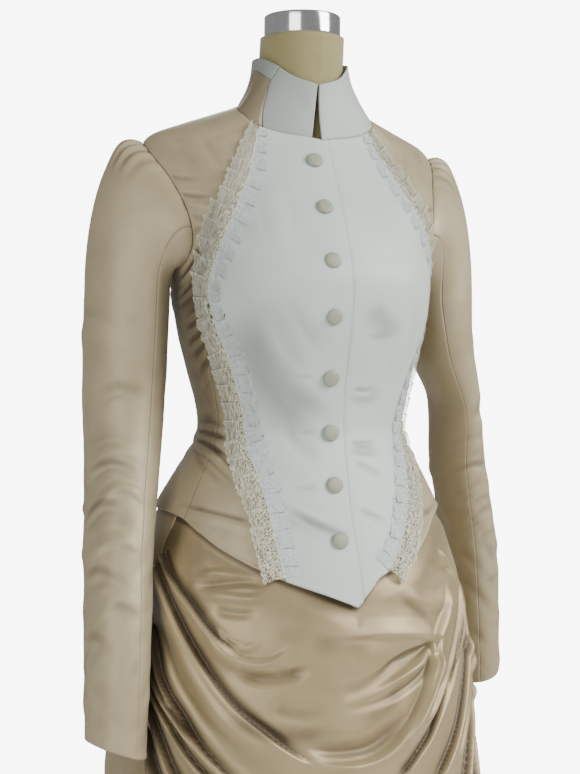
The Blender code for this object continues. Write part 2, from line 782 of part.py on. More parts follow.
def skirt_relief(height, turn):
    """How full the apron stands at a place."""
    full = 0.0
    for fold in SWAG_FOLDS:
        away = height - swag_fold_height(fold, turn)
        width = fold.tall if away > 0 else fold.tall * 0.55
        full += fold.full * bell(away, width)
    full *= 1 - 0.5 * min(1.0, abs(turn) / APRON_TURN) ** 3
    clear = smooth_step((basque_foot(turn) - 0.006 - height) / 0.03)
    return full * clear - UNDER_BASQUE_DROP * (1 - clear)


def apron_foot(turn):
    share = min(1.0, abs(turn) / APRON_TURN)
    return APRON_SIDE_HEM + (APRON_FRONT_HEM - APRON_SIDE_HEM) * (1 - share ** 1.8)


def hanging_lines(start, end, columns, rows, foot):
    """Rows of (height, turn) pairs from a lower edge up to the top of the drapery."""
    lines = []
    for share in spread(0.0, 1.0, rows):
        line = []
        for turn in spread(start, end, columns):
            low = foot(turn)
            line.append((low + (SKIRT_TOP - low) * share, turn))
        lines.append(line)
    return lines


def build_apron():
    """Draped apron overskirt with its swagged folds."""
    lines = hanging_lines(-APRON_TURN + 0.1, APRON_TURN - 0.1, 23, 25, apron_foot)
    panel("apron_overskirt", lines, skirt_relief, CLOTH, SATIN)


def back_relief(height, turn):
    """Puffs and gathers of the back drapery."""
    full = 0.0
    for fold in BACK_FOLDS:
        full += fold.full * bell(turn - fold.turn, fold.wide)
    puff = max(bell(height - middle, 0.115) for middle in BACK_PUFF_HEIGHTS)
    inward = smooth_step((turn - APRON_TURN - 10) / 44) * smooth_step((350 - APRON_TURN - turn) / 44)
    clear = smooth_step((basque_foot(turn) - 0.006 - height) / 0.04)
    gathered = full * (0.35 + 0.65 * inward) + BACK_PUFF_FULL * puff * inward
    return gathered * clear - UNDER_BASQUE_DROP * (1 - clear)


def back_foot(turn):
    side = min(turn - APRON_TURN, 360 - APRON_TURN - turn)
    return APRON_SIDE_HEM + (BACK_DRAPERY_HEM - APRON_SIDE_HEM) * smooth_step(side / 60)


def build_back_drapery():
    """Back drapery over the bustle, gathered under the basque."""
    lines = hanging_lines(APRON_TURN + 0.1, 360 - APRON_TURN - 0.1, 35, 12, back_foot)
    panel("back_drapery", lines, back_relief, CLOTH, SATIN)


UNDERSKIRT_HEIGHTS = (0.025, 0.130, 0.240, 0.350, 0.470, 0.600, 0.740, 0.850, 0.910, 0.945, 0.975, 1.005, 1.035)


def underskirt_lift(height, turn):
    """The underskirt hangs inside the drapery and opens into soft flutes towards the floor."""
    under = 0.0055 + (UNDERSKIRT_DROP - 0.0055) * smooth_step((0.975 - height) / 0.06)
    flutes = UNDERSKIRT_FLUTE_DEPTH * smooth_step((0.56 - height) / 0.5)
    return flutes * math.sin(math.radians(turn) * UNDERSKIRT_FLUTES + 0.6) - under


def build_underskirt():
    """Four underskirt panels from the waist to just above the floor."""
    seams = list(UNDERSKIRT_SEAMS)
    edges = seams + [seams[0] + 360]
    panels = (("underskirt_front", 11), ("underskirt_left", 7), ("underskirt_back", 15), ("underskirt_right", 7))
    for (name, columns), start, end in zip(panels, edges[:-1], edges[1:]):
        lines = panel_lines(
            UNDERSKIRT_HEIGHTS,
            lambda height: seam_turn(height, start, 1),
            lambda height: seam_turn(height, end, -1),
            columns,
        )
        panel(name, lines, underskirt_lift, CLOTH, SATIN)


def armhole_point(side, angle, shrink=0.0, lift=0.0):
    """Point of the armhole: angle 0 at the shoulder, 90 in front, 180 under the arm."""
    radians = math.radians(angle)
    height = ARMHOLE_MIDDLE + (ARMHOLE_HALF_HEIGHT - shrink) * math.cos(radians)
    half_turn = ARMHOLE_HALF_TURN - math.degrees(shrink / 0.16)
    turn = SHOULDER_TURN - half_turn * math.sin(radians)
    return surface_point(height, side * turn, lift)


def ring_point(table, side, height, angle, swell):
    """Point of a hanging sleeve's ring: angle 0 outermost, 90 in front, 180 innermost."""
    step = 0.01
    above = Vector((read_table(table, height + step, "out"), read_table(table, height + step, "back"), step))
    below = Vector((read_table(table, height - step, "out"), read_table(table, height - step, "back"), -step))
    axis = (above - below).normalized()
    outward = Vector((1, 0, 0))
    outward = (outward - axis * outward.dot(axis)).normalized()
    forward = outward.cross(axis)
    if forward.y > 0:
        forward = -forward
    radians = math.radians(angle)
    half_width = read_table(table, height, "half_width") + swell
    half_depth = read_table(table, height, "half_depth") + swell
    middle = Vector((read_table(table, height, "out"), read_table(table, height, "back"), height))
    point = middle + outward * (half_width * math.cos(radians)) + forward * (half_depth * math.sin(radians))
    return Vector((side * point.x, point.y, point.z))


def crease_swell(down, angle):
    """Soft creases across the sleeve."""
    swell = 0.0
    for crease in SLEEVE_CREASES:
        off_angle = (angle - crease.angle + 180) % 360 - 180
        place = crease.down + crease.slant * off_angle / 90
        swell += crease.depth * bell(off_angle, crease.reach) * bell(down - place, crease.tall * 2.2)
    return swell


def sleeve_point(side, share, angle):
    """Point of the sleeve: share 0 at the armhole, 1 at the cuff."""
    head_part = 0.24
    table = SLEEVES[side]
    ring_top = table[-1].height
    ring_foot = table[0].height
    if share <= head_part:
        part = share / head_part
        start = armhole_point(side, angle, 0.0016, 0.0006)
        end = ring_point(table, side, ring_top, angle, 0.0)
        up_share = 0.5 + 0.5 * math.cos(math.radians(angle))
        leave = Vector((side * (0.014 + 0.032 * up_share), 0.0, 0.018 * up_share - 0.004))
        arrive = Vector((0.0, 0.0, 0.012 + 0.076 * up_share))
        points = (start, start + leave, end + arrive, end)
        rest = 1 - part
        weights = (rest ** 3, 3 * rest * rest * part, 3 * rest * part * part, part ** 3)
        point = sum((weight * corner for weight, corner in zip(weights, points)), Vector((0, 0, 0)))
        signed = (angle + 180) % 360 - 180
        gather = math.cos(math.radians(signed) * CAP_GATHERS) * bell(signed, 75) * bell(part - 0.2, 0.2)
        return point + Vector((0, 0, CAP_GATHER_DEPTH * gather))
    down = (share - head_part) / (1 - head_part)
    height = ring_top + (ring_foot - ring_top) * down
    fade = smooth_step(down / 0.08) * smooth_step((1 - down) / 0.05)
    return ring_point(table, side, height, angle, crease_swell(down, angle) * fade)


def back_seam_angle(share):
    """The back seam runs from behind the armhole to the outer side of the cuff."""
    bend = smooth_step(share)
    return BACK_SEAM_ANGLE_TOP + (BACK_SEAM_ANGLE_CUFF - BACK_SEAM_ANGLE_TOP) * bend


def sleeve_cuff_share(angle):
    """The cuff's lower edge is cut slightly longer at the outside."""
    return 0.985 + 0.0155 * math.cos(math.radians(angle - 155))


def build_sleeves():
    """Upper and under sleeve of each arm, as hanging tubes open at both ends."""
    head = [0.24 * step / SLEEVE_HEAD_ROWS for step in range(SLEEVE_HEAD_ROWS)]
    shares = head + spread(0.24, 1.0, 17)
    gap = SLEEVE_GAP_ANGLE
    for side, word in ((-1, "right"), (1, "left")):
        def place(share, angle):
            return sleeve_point(side, share * sleeve_cuff_share(angle), angle)

        for part, columns in (("upper", 9), ("under", 7)):
            lines = []
            for share in reversed(shares):
                back = back_seam_angle(share)
                start, end = back + gap, FRONT_SEAM_ANGLE - gap
                if part == "under":
                    start, end = FRONT_SEAM_ANGLE + gap, 360 + back - gap
                lines.append([(share, angle) for angle in spread(start, end, columns)])
            cloth_wall(
                "sleeve_" + part + "_" + word, place, lines, CLOTH, SATIN, (0.004, 1.0), -side
            )


def button_seat(place, row, column, radius, stand_off, steps, flip=1.0):
    """Middle and facing of a button that clears the cloth all round its rim."""
    centre = place(row, column)
    outward = outward_normal(place, row, column, steps[0], steps[1]) * flip
    per_row = (place(row + steps[0], column) - centre).length / steps[0]
    per_column = (place(row, column + steps[1]) - centre).length / steps[1]
    rise = 0.0
    for step in range(8):
        angle = math.pi * step / 4
        rim_row = row + radius * math.sin(angle) / per_row
        rim_column = column + radius * math.cos(angle) / per_column
        rise = max(rise, (place(rim_row, rim_column) - centre).dot(outward))
    return centre + outward * (rise + stand_off), outward


def dome(name, centre, outward, radius, depth, segments, finish):
    """A covered button: flat back, rounded rim and softly domed face."""
    across = outward.cross(Vector((0, 0, 1))).normalized()
    upward = across.cross(outward).normalized()
    profile = ((0.94, 0.0), (1.0, 0.35), (0.80, 0.80), (0.0, 1.0))
    points = []
    for share, rise in profile[:-1]:
        for step in range(segments):
            angle = 2 * math.pi * step / segments
            point = centre + outward * (depth * rise)
            point += across * (radius * share * math.cos(angle)) + upward * (radius * share * math.sin(angle))
            points.append(point)
    points.append(centre + outward * depth)
    faces = []
    rings = len(profile) - 1
    for ring in range(rings - 1):
        for step in range(segments):
            following = (step + 1) % segments
            start = ring * segments
            faces.append((start + step, start + following, start + segments + following, start + segments + step))
    tip = len(points) - 1
    last = (rings - 1) * segments
    for step in range(segments):
        faces.append((last + step, last + (step + 1) % segments, tip))
    faces.append(tuple(reversed(range(segments))))
    return add_object(name, points, faces, finish)


def build_buttons():
    """Eight covered buttons down the placket and two on each sleeve's back seam."""
    def placket_place(height, turn):
        return surface_point(height, turn, placket_lift(height, turn))

    for number, row in enumerate(PLACKET_BUTTONS, start=1):
        turn = placket_turn(row.height, "buttons")
        centre, outward = button_seat(
            placket_place, row.height, turn, BUTTON_RADIUS, row.stand_off, (0.001, 0.25)
        )
        dome("button_" + str(number), centre, outward, BUTTON_RADIUS, BUTTON_DEPTH, 10, BUTTON_SATIN)
    for side, word in ((-1, "right"), (1, "left")):
        def sleeve_place(share, angle):
            return sleeve_point(side, share * sleeve_cuff_share(angle), angle)

        for number, share in enumerate(CUFF_BUTTON_SHARES, start=1):
            angle = back_seam_angle(share) + 9
            centre, outward = button_seat(
                sleeve_place, share, angle, CUFF_BUTTON_RADIUS, CUFF_BUTTON_STAND_OFF, (0.004, 1.0), -side
            )
            name = "cuff_button_" + word + "_" + str(number)
            dome(name, centre, outward, CUFF_BUTTON_RADIUS, CUFF_BUTTON_DEPTH, 8, BUTTON_SATIN)


def form_ring(height):
    """One ring of the form: its own hips and neck, and the garment's inside between."""
    points = []
    for step in range(FORM_SEGMENTS):
        turn = 360 * step / FORM_SEGMENTS
        if height <= FORM_HIPS[-1].height:
            point = table_point(FORM_HIPS, height, turn)
        elif height >= FORM_NECK[0].height:
            point = table_point(FORM_NECK, height, turn)
        else:
            point = surface_point(height, turn, -FORM_CLEARANCE)
        points.append(point)
    return points


FORM_SEGMENTS = 24
FORM_HEIGHTS = (
    0.800, 0.830, 0.880, 0.930, 0.970, 1.005, 1.030, 1.046, 1.065, 1.100, 1.145, 1.190, 1.215, 1.247,
    1.275, 1.303, 1.330, 1.352, 1.367, 1.386, 1.400, 1.412, 1.432, 1.450, 1.475, 1.504,
)


def build_form():
    """The limbless form in one piece, with its cap, pole and base."""
    rings = [form_ring(height) for height in FORM_HEIGHTS]
    points = [point for ring in rings for point in ring]
    segments = len(rings[0])
    faces = []
    for ring in range(len(rings) - 1):
        for step in range(segments):
            following = (step + 1) % segments
            start = ring * segments
            faces.append((start + step, start + following, start + segments + following, start + segments + step))
    faces.append(tuple(reversed(range(segments))))
    top = (len(rings) - 1) * segments
    faces.append(tuple(range(top, top + segments)))
    add_object("form_body", points, faces, JERSEY)

    foot = FORM_TOP + PART_GAP
    lathe("neck_cap", (
        (CAP_RADIUS - 0.0010, foot),
        (CAP_RADIUS, foot + 0.0012),
        (CAP_RADIUS, foot + CAP_HEIGHT - 0.0030),
        (CAP_RADIUS - 0.0009, foot + CAP_HEIGHT - 0.0008),
        (CAP_RADIUS - 0.0030, foot + CAP_HEIGHT),
    ), NECK_MIDDLE, 32, CHROME)
    lathe("stand_pole", (
        (POLE_RADIUS, BASE_THICKNESS + 0.004 + PART_GAP),
        (POLE_RADIUS, FORM_BOTTOM - PART_GAP),
    ), 0.0, 16, POLE_METAL)
    lathe("stand_base", (
        (BASE_RADIUS - 0.002, 0.0),
        (BASE_RADIUS, 0.002),
        (BASE_RADIUS, BASE_THICKNESS - 0.003),
        (BASE_RADIUS - 0.004, BASE_THICKNESS),
        (0.050, BASE_THICKNESS + 0.003),
        (0.030, BASE_THICKNESS + 0.004),
    ), 0.0, 32, BASE_PAINT)


def main():
    clear_scene()
    build_form()
    build_bodice()
    build_plastron()
    build_collar()
    build_lace()
    build_sleeves()
    build_buttons()
    build_apron()
    build_back_drapery()
    build_underskirt()


main()
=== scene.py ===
# Looks of a satin bustle day dress with a white plastron front, on its limbless form.
#
# Metres, +Z up. The front faces -Y, the garment's right side is at -X and its left side at +X.
# A turn is in degrees round the body: 0 at the front, positive towards the left side, 180 at
# the back. The cloth pieces are fine sheets on the same surfaces as the model's solids.

from collections import namedtuple

import bpy
import numpy as np
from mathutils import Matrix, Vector


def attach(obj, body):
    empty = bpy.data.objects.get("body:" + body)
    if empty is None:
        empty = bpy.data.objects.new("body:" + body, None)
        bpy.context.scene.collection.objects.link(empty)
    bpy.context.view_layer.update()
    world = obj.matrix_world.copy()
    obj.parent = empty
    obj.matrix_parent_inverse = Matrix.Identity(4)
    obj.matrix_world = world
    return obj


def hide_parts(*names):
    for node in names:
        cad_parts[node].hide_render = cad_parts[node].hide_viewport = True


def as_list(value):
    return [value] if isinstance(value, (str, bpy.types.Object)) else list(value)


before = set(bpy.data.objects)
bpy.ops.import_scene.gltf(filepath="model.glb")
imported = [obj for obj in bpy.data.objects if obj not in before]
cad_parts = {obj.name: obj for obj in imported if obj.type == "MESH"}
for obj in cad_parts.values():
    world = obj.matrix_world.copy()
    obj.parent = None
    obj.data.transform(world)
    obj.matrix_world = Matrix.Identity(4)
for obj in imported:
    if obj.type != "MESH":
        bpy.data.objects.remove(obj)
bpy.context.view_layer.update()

# Sizes of the cloth walls and the room between pieces
CLOTH = 0.0014
THIN_CLOTH = 0.0012
SEAM_HALF = 0.00006
SEAM_TURNED_IN = 0.0006
SEAM_ROLL = 0.0022
SEAM_SHADE_WIDTH = 0.0016
NECK_SEAM_HALF = 0.00006
BASQUE_LIFT = 0.0028
UNDER_BASQUE_DROP = 0.0025
UNDERSKIRT_DROP = 0.015
FORM_CLEARANCE = 0.009

# Heights
WAIST = 1.050
SKIRT_TOP = 0.990
FORM_TOP = 1.5040
NECK_MIDDLE = -0.006

# The garment's outer surface: a row for each height, with the reach of the front and the back,
# the place of the widest line and how square the outline is there.
Section = namedtuple("Section", "height half_width front back middle square")
GARMENT = (
    Section(-0.150, 0.398, 0.373, 0.530, 0.000, 2.05),
    Section(0.025, 0.352, 0.328, 0.460, 0.000, 2.05),
    Section(0.200, 0.306, 0.282, 0.385, 0.000, 2.05),
    Section(0.350, 0.268, 0.243, 0.330, 0.000, 2.05),
    Section(0.480, 0.240, 0.212, 0.290, 0.000, 2.05),
    Section(0.600, 0.214, 0.187, 0.265, 0.000, 2.10),
    Section(0.700, 0.204, 0.169, 0.262, 0.000, 2.10),
    Section(0.800, 0.200, 0.156, 0.258, 0.000, 2.10),
    Section(0.840, 0.197, 0.150, 0.250, 0.000, 2.10),
    Section(0.880, 0.190, 0.143, 0.235, 0.000, 2.10),
    Section(0.920, 0.178, 0.133, 0.208, 0.000, 2.10),
    Section(0.960, 0.163, 0.121, 0.168, 0.000, 2.15),
    Section(1.000, 0.142, 0.108, 0.126, 0.000, 2.20),
    Section(1.020, 0.131, 0.102, 0.105, 0.000, 2.20),
    Section(1.050, 0.1235, 0.098, 0.092, 0.000, 2.20),
    Section(1.080, 0.127, 0.102, 0.093, 0.000, 2.25),
    Section(1.120, 0.136, 0.115, 0.099, 0.004, 2.30),
    Section(1.170, 0.146, 0.134, 0.108, 0.008, 2.40),
    Section(1.215, 0.150, 0.141, 0.115, 0.012, 2.45),
    Section(1.250, 0.160, 0.130, 0.118, 0.020, 2.30),
    Section(1.290, 0.178, 0.110, 0.117, 0.026, 2.10),
    Section(1.320, 0.190, 0.092, 0.113, 0.028, 1.85),
    Section(1.350, 0.195, 0.074, 0.107, 0.028, 1.62),
    Section(1.370, 0.190, 0.063, 0.101, 0.028, 1.50),
    Section(1.386, 0.176, 0.0565, 0.094, 0.025, 1.45),
    Section(1.400, 0.141, 0.053, 0.088, 0.021, 1.55),
    Section(1.412, 0.107, 0.050, 0.083, 0.018, 1.70),
    Section(1.425, 0.0720, 0.048, 0.078, 0.014, 2.00),
    Section(1.440, 0.0620, 0.047, 0.074, 0.012, 2.00),
)
FORM_HIPS = (
    Section(0.800, 0.148, 0.098, 0.110, 0.000, 2.10),
    Section(0.830, 0.158, 0.106, 0.120, 0.000, 2.10),
    Section(0.880, 0.160, 0.110, 0.126, 0.000, 2.10),
    Section(0.930, 0.150, 0.108, 0.122, 0.000, 2.10),
    Section(0.970, 0.136, 0.100, 0.112, 0.000, 2.15),
)
FORM_NECK = (
    Section(1.432, 0.0560, 0.0440, 0.0640, 0.010, 2.0),
    Section(1.450, 0.0515, 0.0470, 0.0560, 0.005, 2.0),
    Section(1.475, 0.0500, 0.0520, 0.0480, -0.002, 2.0),
    Section(1.5040, 0.0495, 0.0555, 0.0435, -0.006, 2.0),
)

# Edge between the white plastron and the satin fronts: distance from the middle, each side
EdgeRow = namedtuple("EdgeRow", "height right left")
PLASTRON_EDGE = (
    EdgeRow(0.840, 0.072, 0.020),
    EdgeRow(0.880, 0.078, 0.036),
    EdgeRow(0.918, 0.083, 0.064),
    EdgeRow(0.967, 0.088, 0.084),
    EdgeRow(1.025, 0.096, 0.094),
    EdgeRow(1.070, 0.101, 0.101),
    EdgeRow(1.120, 0.116, 0.116),
    EdgeRow(1.172, 0.135, 0.135),
    EdgeRow(1.215, 0.1395, 0.1395),
    EdgeRow(1.260, 0.130, 0.131),
    EdgeRow(1.300, 0.112, 0.113),
    EdgeRow(1.340, 0.090, 0.091),
    EdgeRow(1.375, 0.076, 0.077),
    EdgeRow(1.400, 0.068, 0.069),
    EdgeRow(1.424, 0.060, 0.061),
)
PlacketRow = namedtuple("PlacketRow", "height edge buttons")
PLACKET = (
    PlacketRow(0.840, 0.008, -0.014),
    PlacketRow(0.950, 0.004, -0.014),
    PlacketRow(1.050, 0.008, -0.009),
    PlacketRow(1.130, 0.003, -0.017),
    PlacketRow(1.215, -0.001, -0.024),
    PlacketRow(1.290, 0.002, -0.020),
    PlacketRow(1.380, 0.007, -0.014),
)
PLACKET_UNDERLAP = 0.014
PLACKET_LIFT = 0.0019
UNDERLAP_PRESSED = 0.0004
ButtonRow = namedtuple("ButtonRow", "height stand_off")
PLACKET_BUTTONS = (
    ButtonRow(1.352, 0.0004),
    ButtonRow(1.296, 0.0004),
    ButtonRow(1.235, -0.0004),
    ButtonRow(1.174, -0.0007),
    ButtonRow(1.106, 0.0004),
    ButtonRow(1.044, 0.0004),
    ButtonRow(0.985, 0.0004),
    ButtonRow(0.925, 0.0004),
)
BUTTON_RADIUS = 0.0095
BUTTON_DEPTH = 0.0045
CUFF_BUTTON_RADIUS = 0.0058
CUFF_BUTTON_DEPTH = 0.0065
CUFF_BUTTON_SHARES = (0.875, 0.81)
CUFF_BUTTON_STAND_OFF = 0.0004
CUFF_BUTTON_TURN = 9

# Lower edge of the basque, the neck seam and the collar's top, by turn from the middle
TurnRow = namedtuple("TurnRow", "turn height")
BASQUE_HEM = (
    TurnRow(0, 0.853),
    TurnRow(6, 0.862),
    TurnRow(12, 0.870),
    TurnRow(27, 0.888),
    TurnRow(49, 0.917),
    TurnRow(61, 0.934),
    TurnRow(75, 0.949),
    TurnRow(100, 0.954),
    TurnRow(140, 0.948),
    TurnRow(180, 0.938),
)
BASQUE_LEFT_HEM = (
    TurnRow(0, 0.853),
    TurnRow(5, 0.871),
    TurnRow(9, 0.884),
    TurnRow(25, 0.901),
    TurnRow(35, 0.920),
    TurnRow(47, 0.942),
    TurnRow(62, 0.952),
    TurnRow(80, 0.955),
    TurnRow(100, 0.954),
    TurnRow(140, 0.948),
    TurnRow(180, 0.938),
)
NECK_SEAM = (
    TurnRow(0, 1.378),
    TurnRow(25, 1.388),
    TurnRow(50, 1.409),
    TurnRow(90, 1.425),
    TurnRow(180, 1.430),
)
COLLAR_TOP = (
    TurnRow(0, 1.444),
    TurnRow(30, 1.453),
    TurnRow(60, 1.470),
    TurnRow(90, 1.478),
    TurnRow(180, 1.480),
)
COLLAR_TOP_HALF_WIDTH = 0.0565
COLLAR_TOP_FRONT = 0.0510
COLLAR_TOP_BACK = 0.0650
COLLAR_WALL = 0.0014
# Painted shade of the collar's white and satin pieces; collar_piece paints the right side darker
COLLAR_SHADE = {"white": 0.46, "champagne": 0.18}
COLLAR_BAND_SHARE = 0.72
COLLAR_GAP_TURN = 0.25
COLLAR_SATIN_TURN = 49
COLLAR_FOOT_TURN = 31
COLLAR_SEAM_LEFT = 62
SLIT_TOP_HALF = 0.0012
SLIT_FOOT_HALF = 0.0050
SLIT_FOOT_SHIFT = -0.004
SLIT_FOOT_RADIUS = 0.066
SLIT_TOP_RADIUS = 0.058

# Seams of the bodice, and its armholes as ovals on the surface
SIDE_SEAM_TURN = 72
BACK_SEAM_TURN = 112
SHOULDER_TURN = 92
ARMHOLE_MIDDLE = 1.303
ARMHOLE_HALF_HEIGHT = 0.073
ARMHOLE_HALF_TURN = 31
UNDERARM_SHARE = (SHOULDER_TURN - SIDE_SEAM_TURN) / ARMHOLE_HALF_TURN
UNDERARM_CORNER = ARMHOLE_MIDDLE - ARMHOLE_HALF_HEIGHT * (1 - UNDERARM_SHARE ** 2) ** 0.5
BODICE_FOOT = 0.857
BODICE_HEAD = 1.424

# Sleeves: middle of each ring, outwards and backwards, with its half sizes
SleeveRing = namedtuple("SleeveRing", "height out back half_width half_depth")
RIGHT_SLEEVE = (
    SleeveRing(0.694, 0.2495, -0.0600, 0.0335, 0.0365),
    SleeveRing(0.800, 0.2440, -0.0520, 0.0360, 0.0395),
    SleeveRing(0.900, 0.2340, -0.0245, 0.0385, 0.0435),
    SleeveRing(1.000, 0.2163, 0.0145, 0.0420, 0.0485),
    SleeveRing(1.080, 0.2080, 0.0330, 0.0465, 0.0520),
    SleeveRing(1.150, 0.2050, 0.0350, 0.0485, 0.0540),
    SleeveRing(1.205, 0.2030, 0.0340, 0.0485, 0.0550),
)
LEFT_SLEEVE = (
    SleeveRing(0.706, 0.3290, 0.1500, 0.0320, 0.0370),
    SleeveRing(0.800, 0.3130, 0.1290, 0.0330, 0.0405),
    SleeveRing(0.900, 0.2900, 0.1030, 0.0335, 0.0450),
    SleeveRing(1.000, 0.2590, 0.0780, 0.0310, 0.0490),
    SleeveRing(1.080, 0.2430, 0.0600, 0.0270, 0.0530),
    SleeveRing(1.150, 0.2125, 0.0440, 0.0385, 0.0560),
    SleeveRing(1.205, 0.2005, 0.0360, 0.0460, 0.0550),
)
SLEEVES = {-1: RIGHT_SLEEVE, 1: LEFT_SLEEVE}
FRONT_SEAM_ANGLE = 112
BACK_SEAM_ANGLE_TOP = -72
BACK_SEAM_ANGLE_CUFF = -33
SLEEVE_GAP_ANGLE = 0.06
SLEEVE_HEAD_PART = 0.24
CAP_GATHERS = 26
CAP_GATHER_DEPTH = 0.0036

# Drapery
APRON_TURN = 82
DRAPERY_SEAM_TURN = 0.1
APRON_SIDE_HEM = 0.640
APRON_FRONT_HEM = 0.395
BackFold = namedtuple("BackFold", "turn wide full")
BACK_FOLDS = (
    BackFold(94, 10, 0.0050),
    BackFold(115, 12, 0.0070),
    BackFold(137, 11, 0.0110),
    BackFold(159, 12, 0.0140),
    BackFold(181, 11, 0.0130),
    BackFold(203, 12, 0.0140),
    BackFold(225, 12, 0.0110),
    BackFold(246, 11, 0.0070),
    BackFold(266, 10, 0.0050),
)
BACK_PUFF_HEIGHTS = (0.86, 0.66)
BACK_PUFF_FULL = 0.014
BACK_DRAPERY_HEM = 0.330
UNDERSKIRT_SEAMS = (-48, 48, 112, 248)
UNDERSKIRT_FLUTES = 12
UNDERSKIRT_FLUTE_DEPTH = 0.012
UNDERSKIRT_FOOT = 0.025
UNDERSKIRT_HEAD = 1.035

# Gathered lace on each side of the plastron
LACE_STEPS = 78
LACE_OUTER_WIDTH = 0.024
LACE_INNER_WIDTH = 0.019
LACE_BASE_LIFT = 0.0026
LACE_CHEST_DROP = 0.0010
LACE_NECK_TAPER = 0.30
LACE_TOP_SLANT = 0.011
LACE_NECK_CLEARANCE = 0.004
LACE_WAVE_LIFT = 0.0026

# Stand
CAP_RADIUS = 0.0450
CAP_HEIGHT = 0.0265
POLE_RADIUS = 0.0125
BASE_RADIUS = 0.170
BASE_THICKNESS = 0.010
POLE_FOOT = BASE_THICKNESS + 0.004
PART_GAP = 0.0003
FORM_BOTTOM = 0.800
FORM_SEAM_TURN = 4.0
FORM_SEAM_WIDTH = 1.6

# Camera: where it stands and how the picture is framed
CAMERA_PLACE = (-0.8452, -1.8126, 1.115)
CAMERA_TURN = -25.0
CAMERA_LENS = 78.8
SENSOR_HEIGHT = 36.0
SHIFT_ACROSS = -0.0129
SHIFT_UP = -0.0220

# Soft lamps: where each stands, what it faces, its two sides and its watts
Lamp = namedtuple("Lamp", "name place aim size power")
LAMPS = (
    Lamp("key_light", (1.9, -1.8, 2.4), (0.0, 0.0, 1.05), (1.5, 1.9), 142.0),
    Lamp("fill_light", (-2.1, -2.0, 1.5), (0.0, 0.0, 1.0), (1.6, 2.2), 58.0),
    Lamp("rim_light", (0.8, 2.2, 2.4), (0.0, 0.0, 1.1), (1.0, 1.4), 30.0),
)
ROOM_LIGHT = 0.36
ROOM_SEEN = 7.8
FLOOR_RADIUS = 2.4
FLOOR_GLOW = 1.3


def smooth(value):
    """0 below 0, 1 above 1, and an even curve between."""
    value = np.clip(value, 0.0, 1.0)
    return value * value * (3.0 - 2.0 * value)


def bell(distance, width):
    """A smooth bump that is 1 in its middle and 0 beyond its width."""
    return 0.5 + 0.5 * np.cos(np.pi * np.clip(np.abs(distance) / width, 0.0, 1.0))


def signed_turn(turn):
    """A turn as a number from -180 to 180."""
    return (turn + 180.0) % 360.0 - 180.0


def soft_noise(across, along, seed):
    """A smooth uneven field from -1 to 1, with about one bump to a unit."""
    values = np.random.default_rng(seed).uniform(-1.0, 1.0, (64, 64))
    column = np.floor(across).astype(int)
    row = np.floor(along).astype(int)
    part_across = smooth(across - column)
    part_along = smooth(along - row)

    def corner(right, up):
        return values[(column + right) % 64, (row + up) % 64]

    low = corner(0, 0) * (1 - part_across) + corner(1, 0) * part_across
    high = corner(0, 1) * (1 - part_across) + corner(1, 1) * part_across
    return low * (1 - part_along) + high * part_along


def read_table(table, place, column):
    """Smooth values of one column at places between the rows, which rise by their first column."""
    rows = np.array([row[0] for row in table], float)
    values = np.array([getattr(row, column) for row in table], float)
    place = np.clip(place, rows[0], rows[-1])
    start = np.clip(np.searchsorted(rows, place, side="right") - 1, 0, len(rows) - 2)
    end = start + 1
    before = np.maximum(start - 1, 0)
    after = np.minimum(end + 1, len(rows) - 1)
    span = rows[end] - rows[start]
    part = (place - rows[start]) / span
    slope_in = (values[end] - values[before]) / (rows[end] - rows[before])
    slope_out = (values[after] - values[start]) / (rows[after] - rows[start])
    square = part * part
    cube = square * part
    return (
        (2 * cube - 3 * square + 1) * values[start]
        + (cube - 2 * square + part) * span * slope_in
        + (3 * square - 2 * cube) * values[end]
        + (cube - square) * span * slope_out
    )


def signed_power(value, power):
    """Keep the sign and raise the size to a power."""
    return np.sign(value) * np.abs(value) ** power


def unit(vectors):
    """Vectors of length 1."""
    return vectors / np.linalg.norm(vectors, axis=-1, keepdims=True)


def table_point(table, height, turn):
    """Points of a section table at heights and turns."""
    height, turn = np.broadcast_arrays(np.asarray(height, float), np.asarray(turn, float))
    radians = np.radians(turn)
    power = 2.0 / read_table(table, height, "square")
    middle = read_table(table, height, "middle")
    across = signed_power(np.sin(radians), power) * read_table(table, height, "half_width")
    along = signed_power(np.cos(radians), power)
    front = read_table(table, height, "front") + middle
    back = read_table(table, height, "back") - middle
    depth = middle - along * np.where(along >= 0, front, back)
    return np.stack((across, depth, height), -1)


def surface_rates(height, turn):
    """How the garment's surface runs per metre of height and per degree of turn."""
    step = 0.002
    above, below = (table_point(GARMENT, height + way * step, turn) for way in (1, -1))
    by_height = above - below
    by_turn = table_point(GARMENT, height, turn + 1.0) - table_point(GARMENT, height, turn - 1.0)
    return by_height / (2 * step), by_turn / 2.0


def surface_point(height, turn, lift=0.0):
    """Points of the garment's outer surface, moved out by lift."""
    height, turn = np.broadcast_arrays(np.asarray(height, float), np.asarray(turn, float))
    by_height, by_turn = surface_rates(height, turn)
    outward = unit(np.cross(by_turn, by_height))
    return table_point(GARMENT, height, turn) + outward * np.asarray(lift)[..., None]


def turn_at(height, across):
    """Turn at which the front of the garment is this far from the middle."""
    share = np.minimum(0.9999, np.abs(across) / read_table(GARMENT, height, "half_width"))
    power = read_table(GARMENT, height, "square") / 2.0
    return np.sign(across) * np.degrees(np.arcsin(share ** power))


def seam_turn(height, turn, side):
    """A seam's turn, moved by half a seam's gap to one side (-1 or 1)."""
    by_turn = np.linalg.norm(surface_rates(height, turn)[1], axis=-1)
    return turn + side * SEAM_HALF / np.maximum(0.0004, by_turn)


def height_by_turn(table, turn):
    """Heights from a table of turns, the same on both sides."""
    return read_table(table, np.abs(signed_turn(turn)), "height")


def bodice_lift(height):
    """The basque lies over the skirt, so the bodice rises below the waist."""
    return BASQUE_LIFT * smooth((WAIST - 0.005 - height) / 0.038)


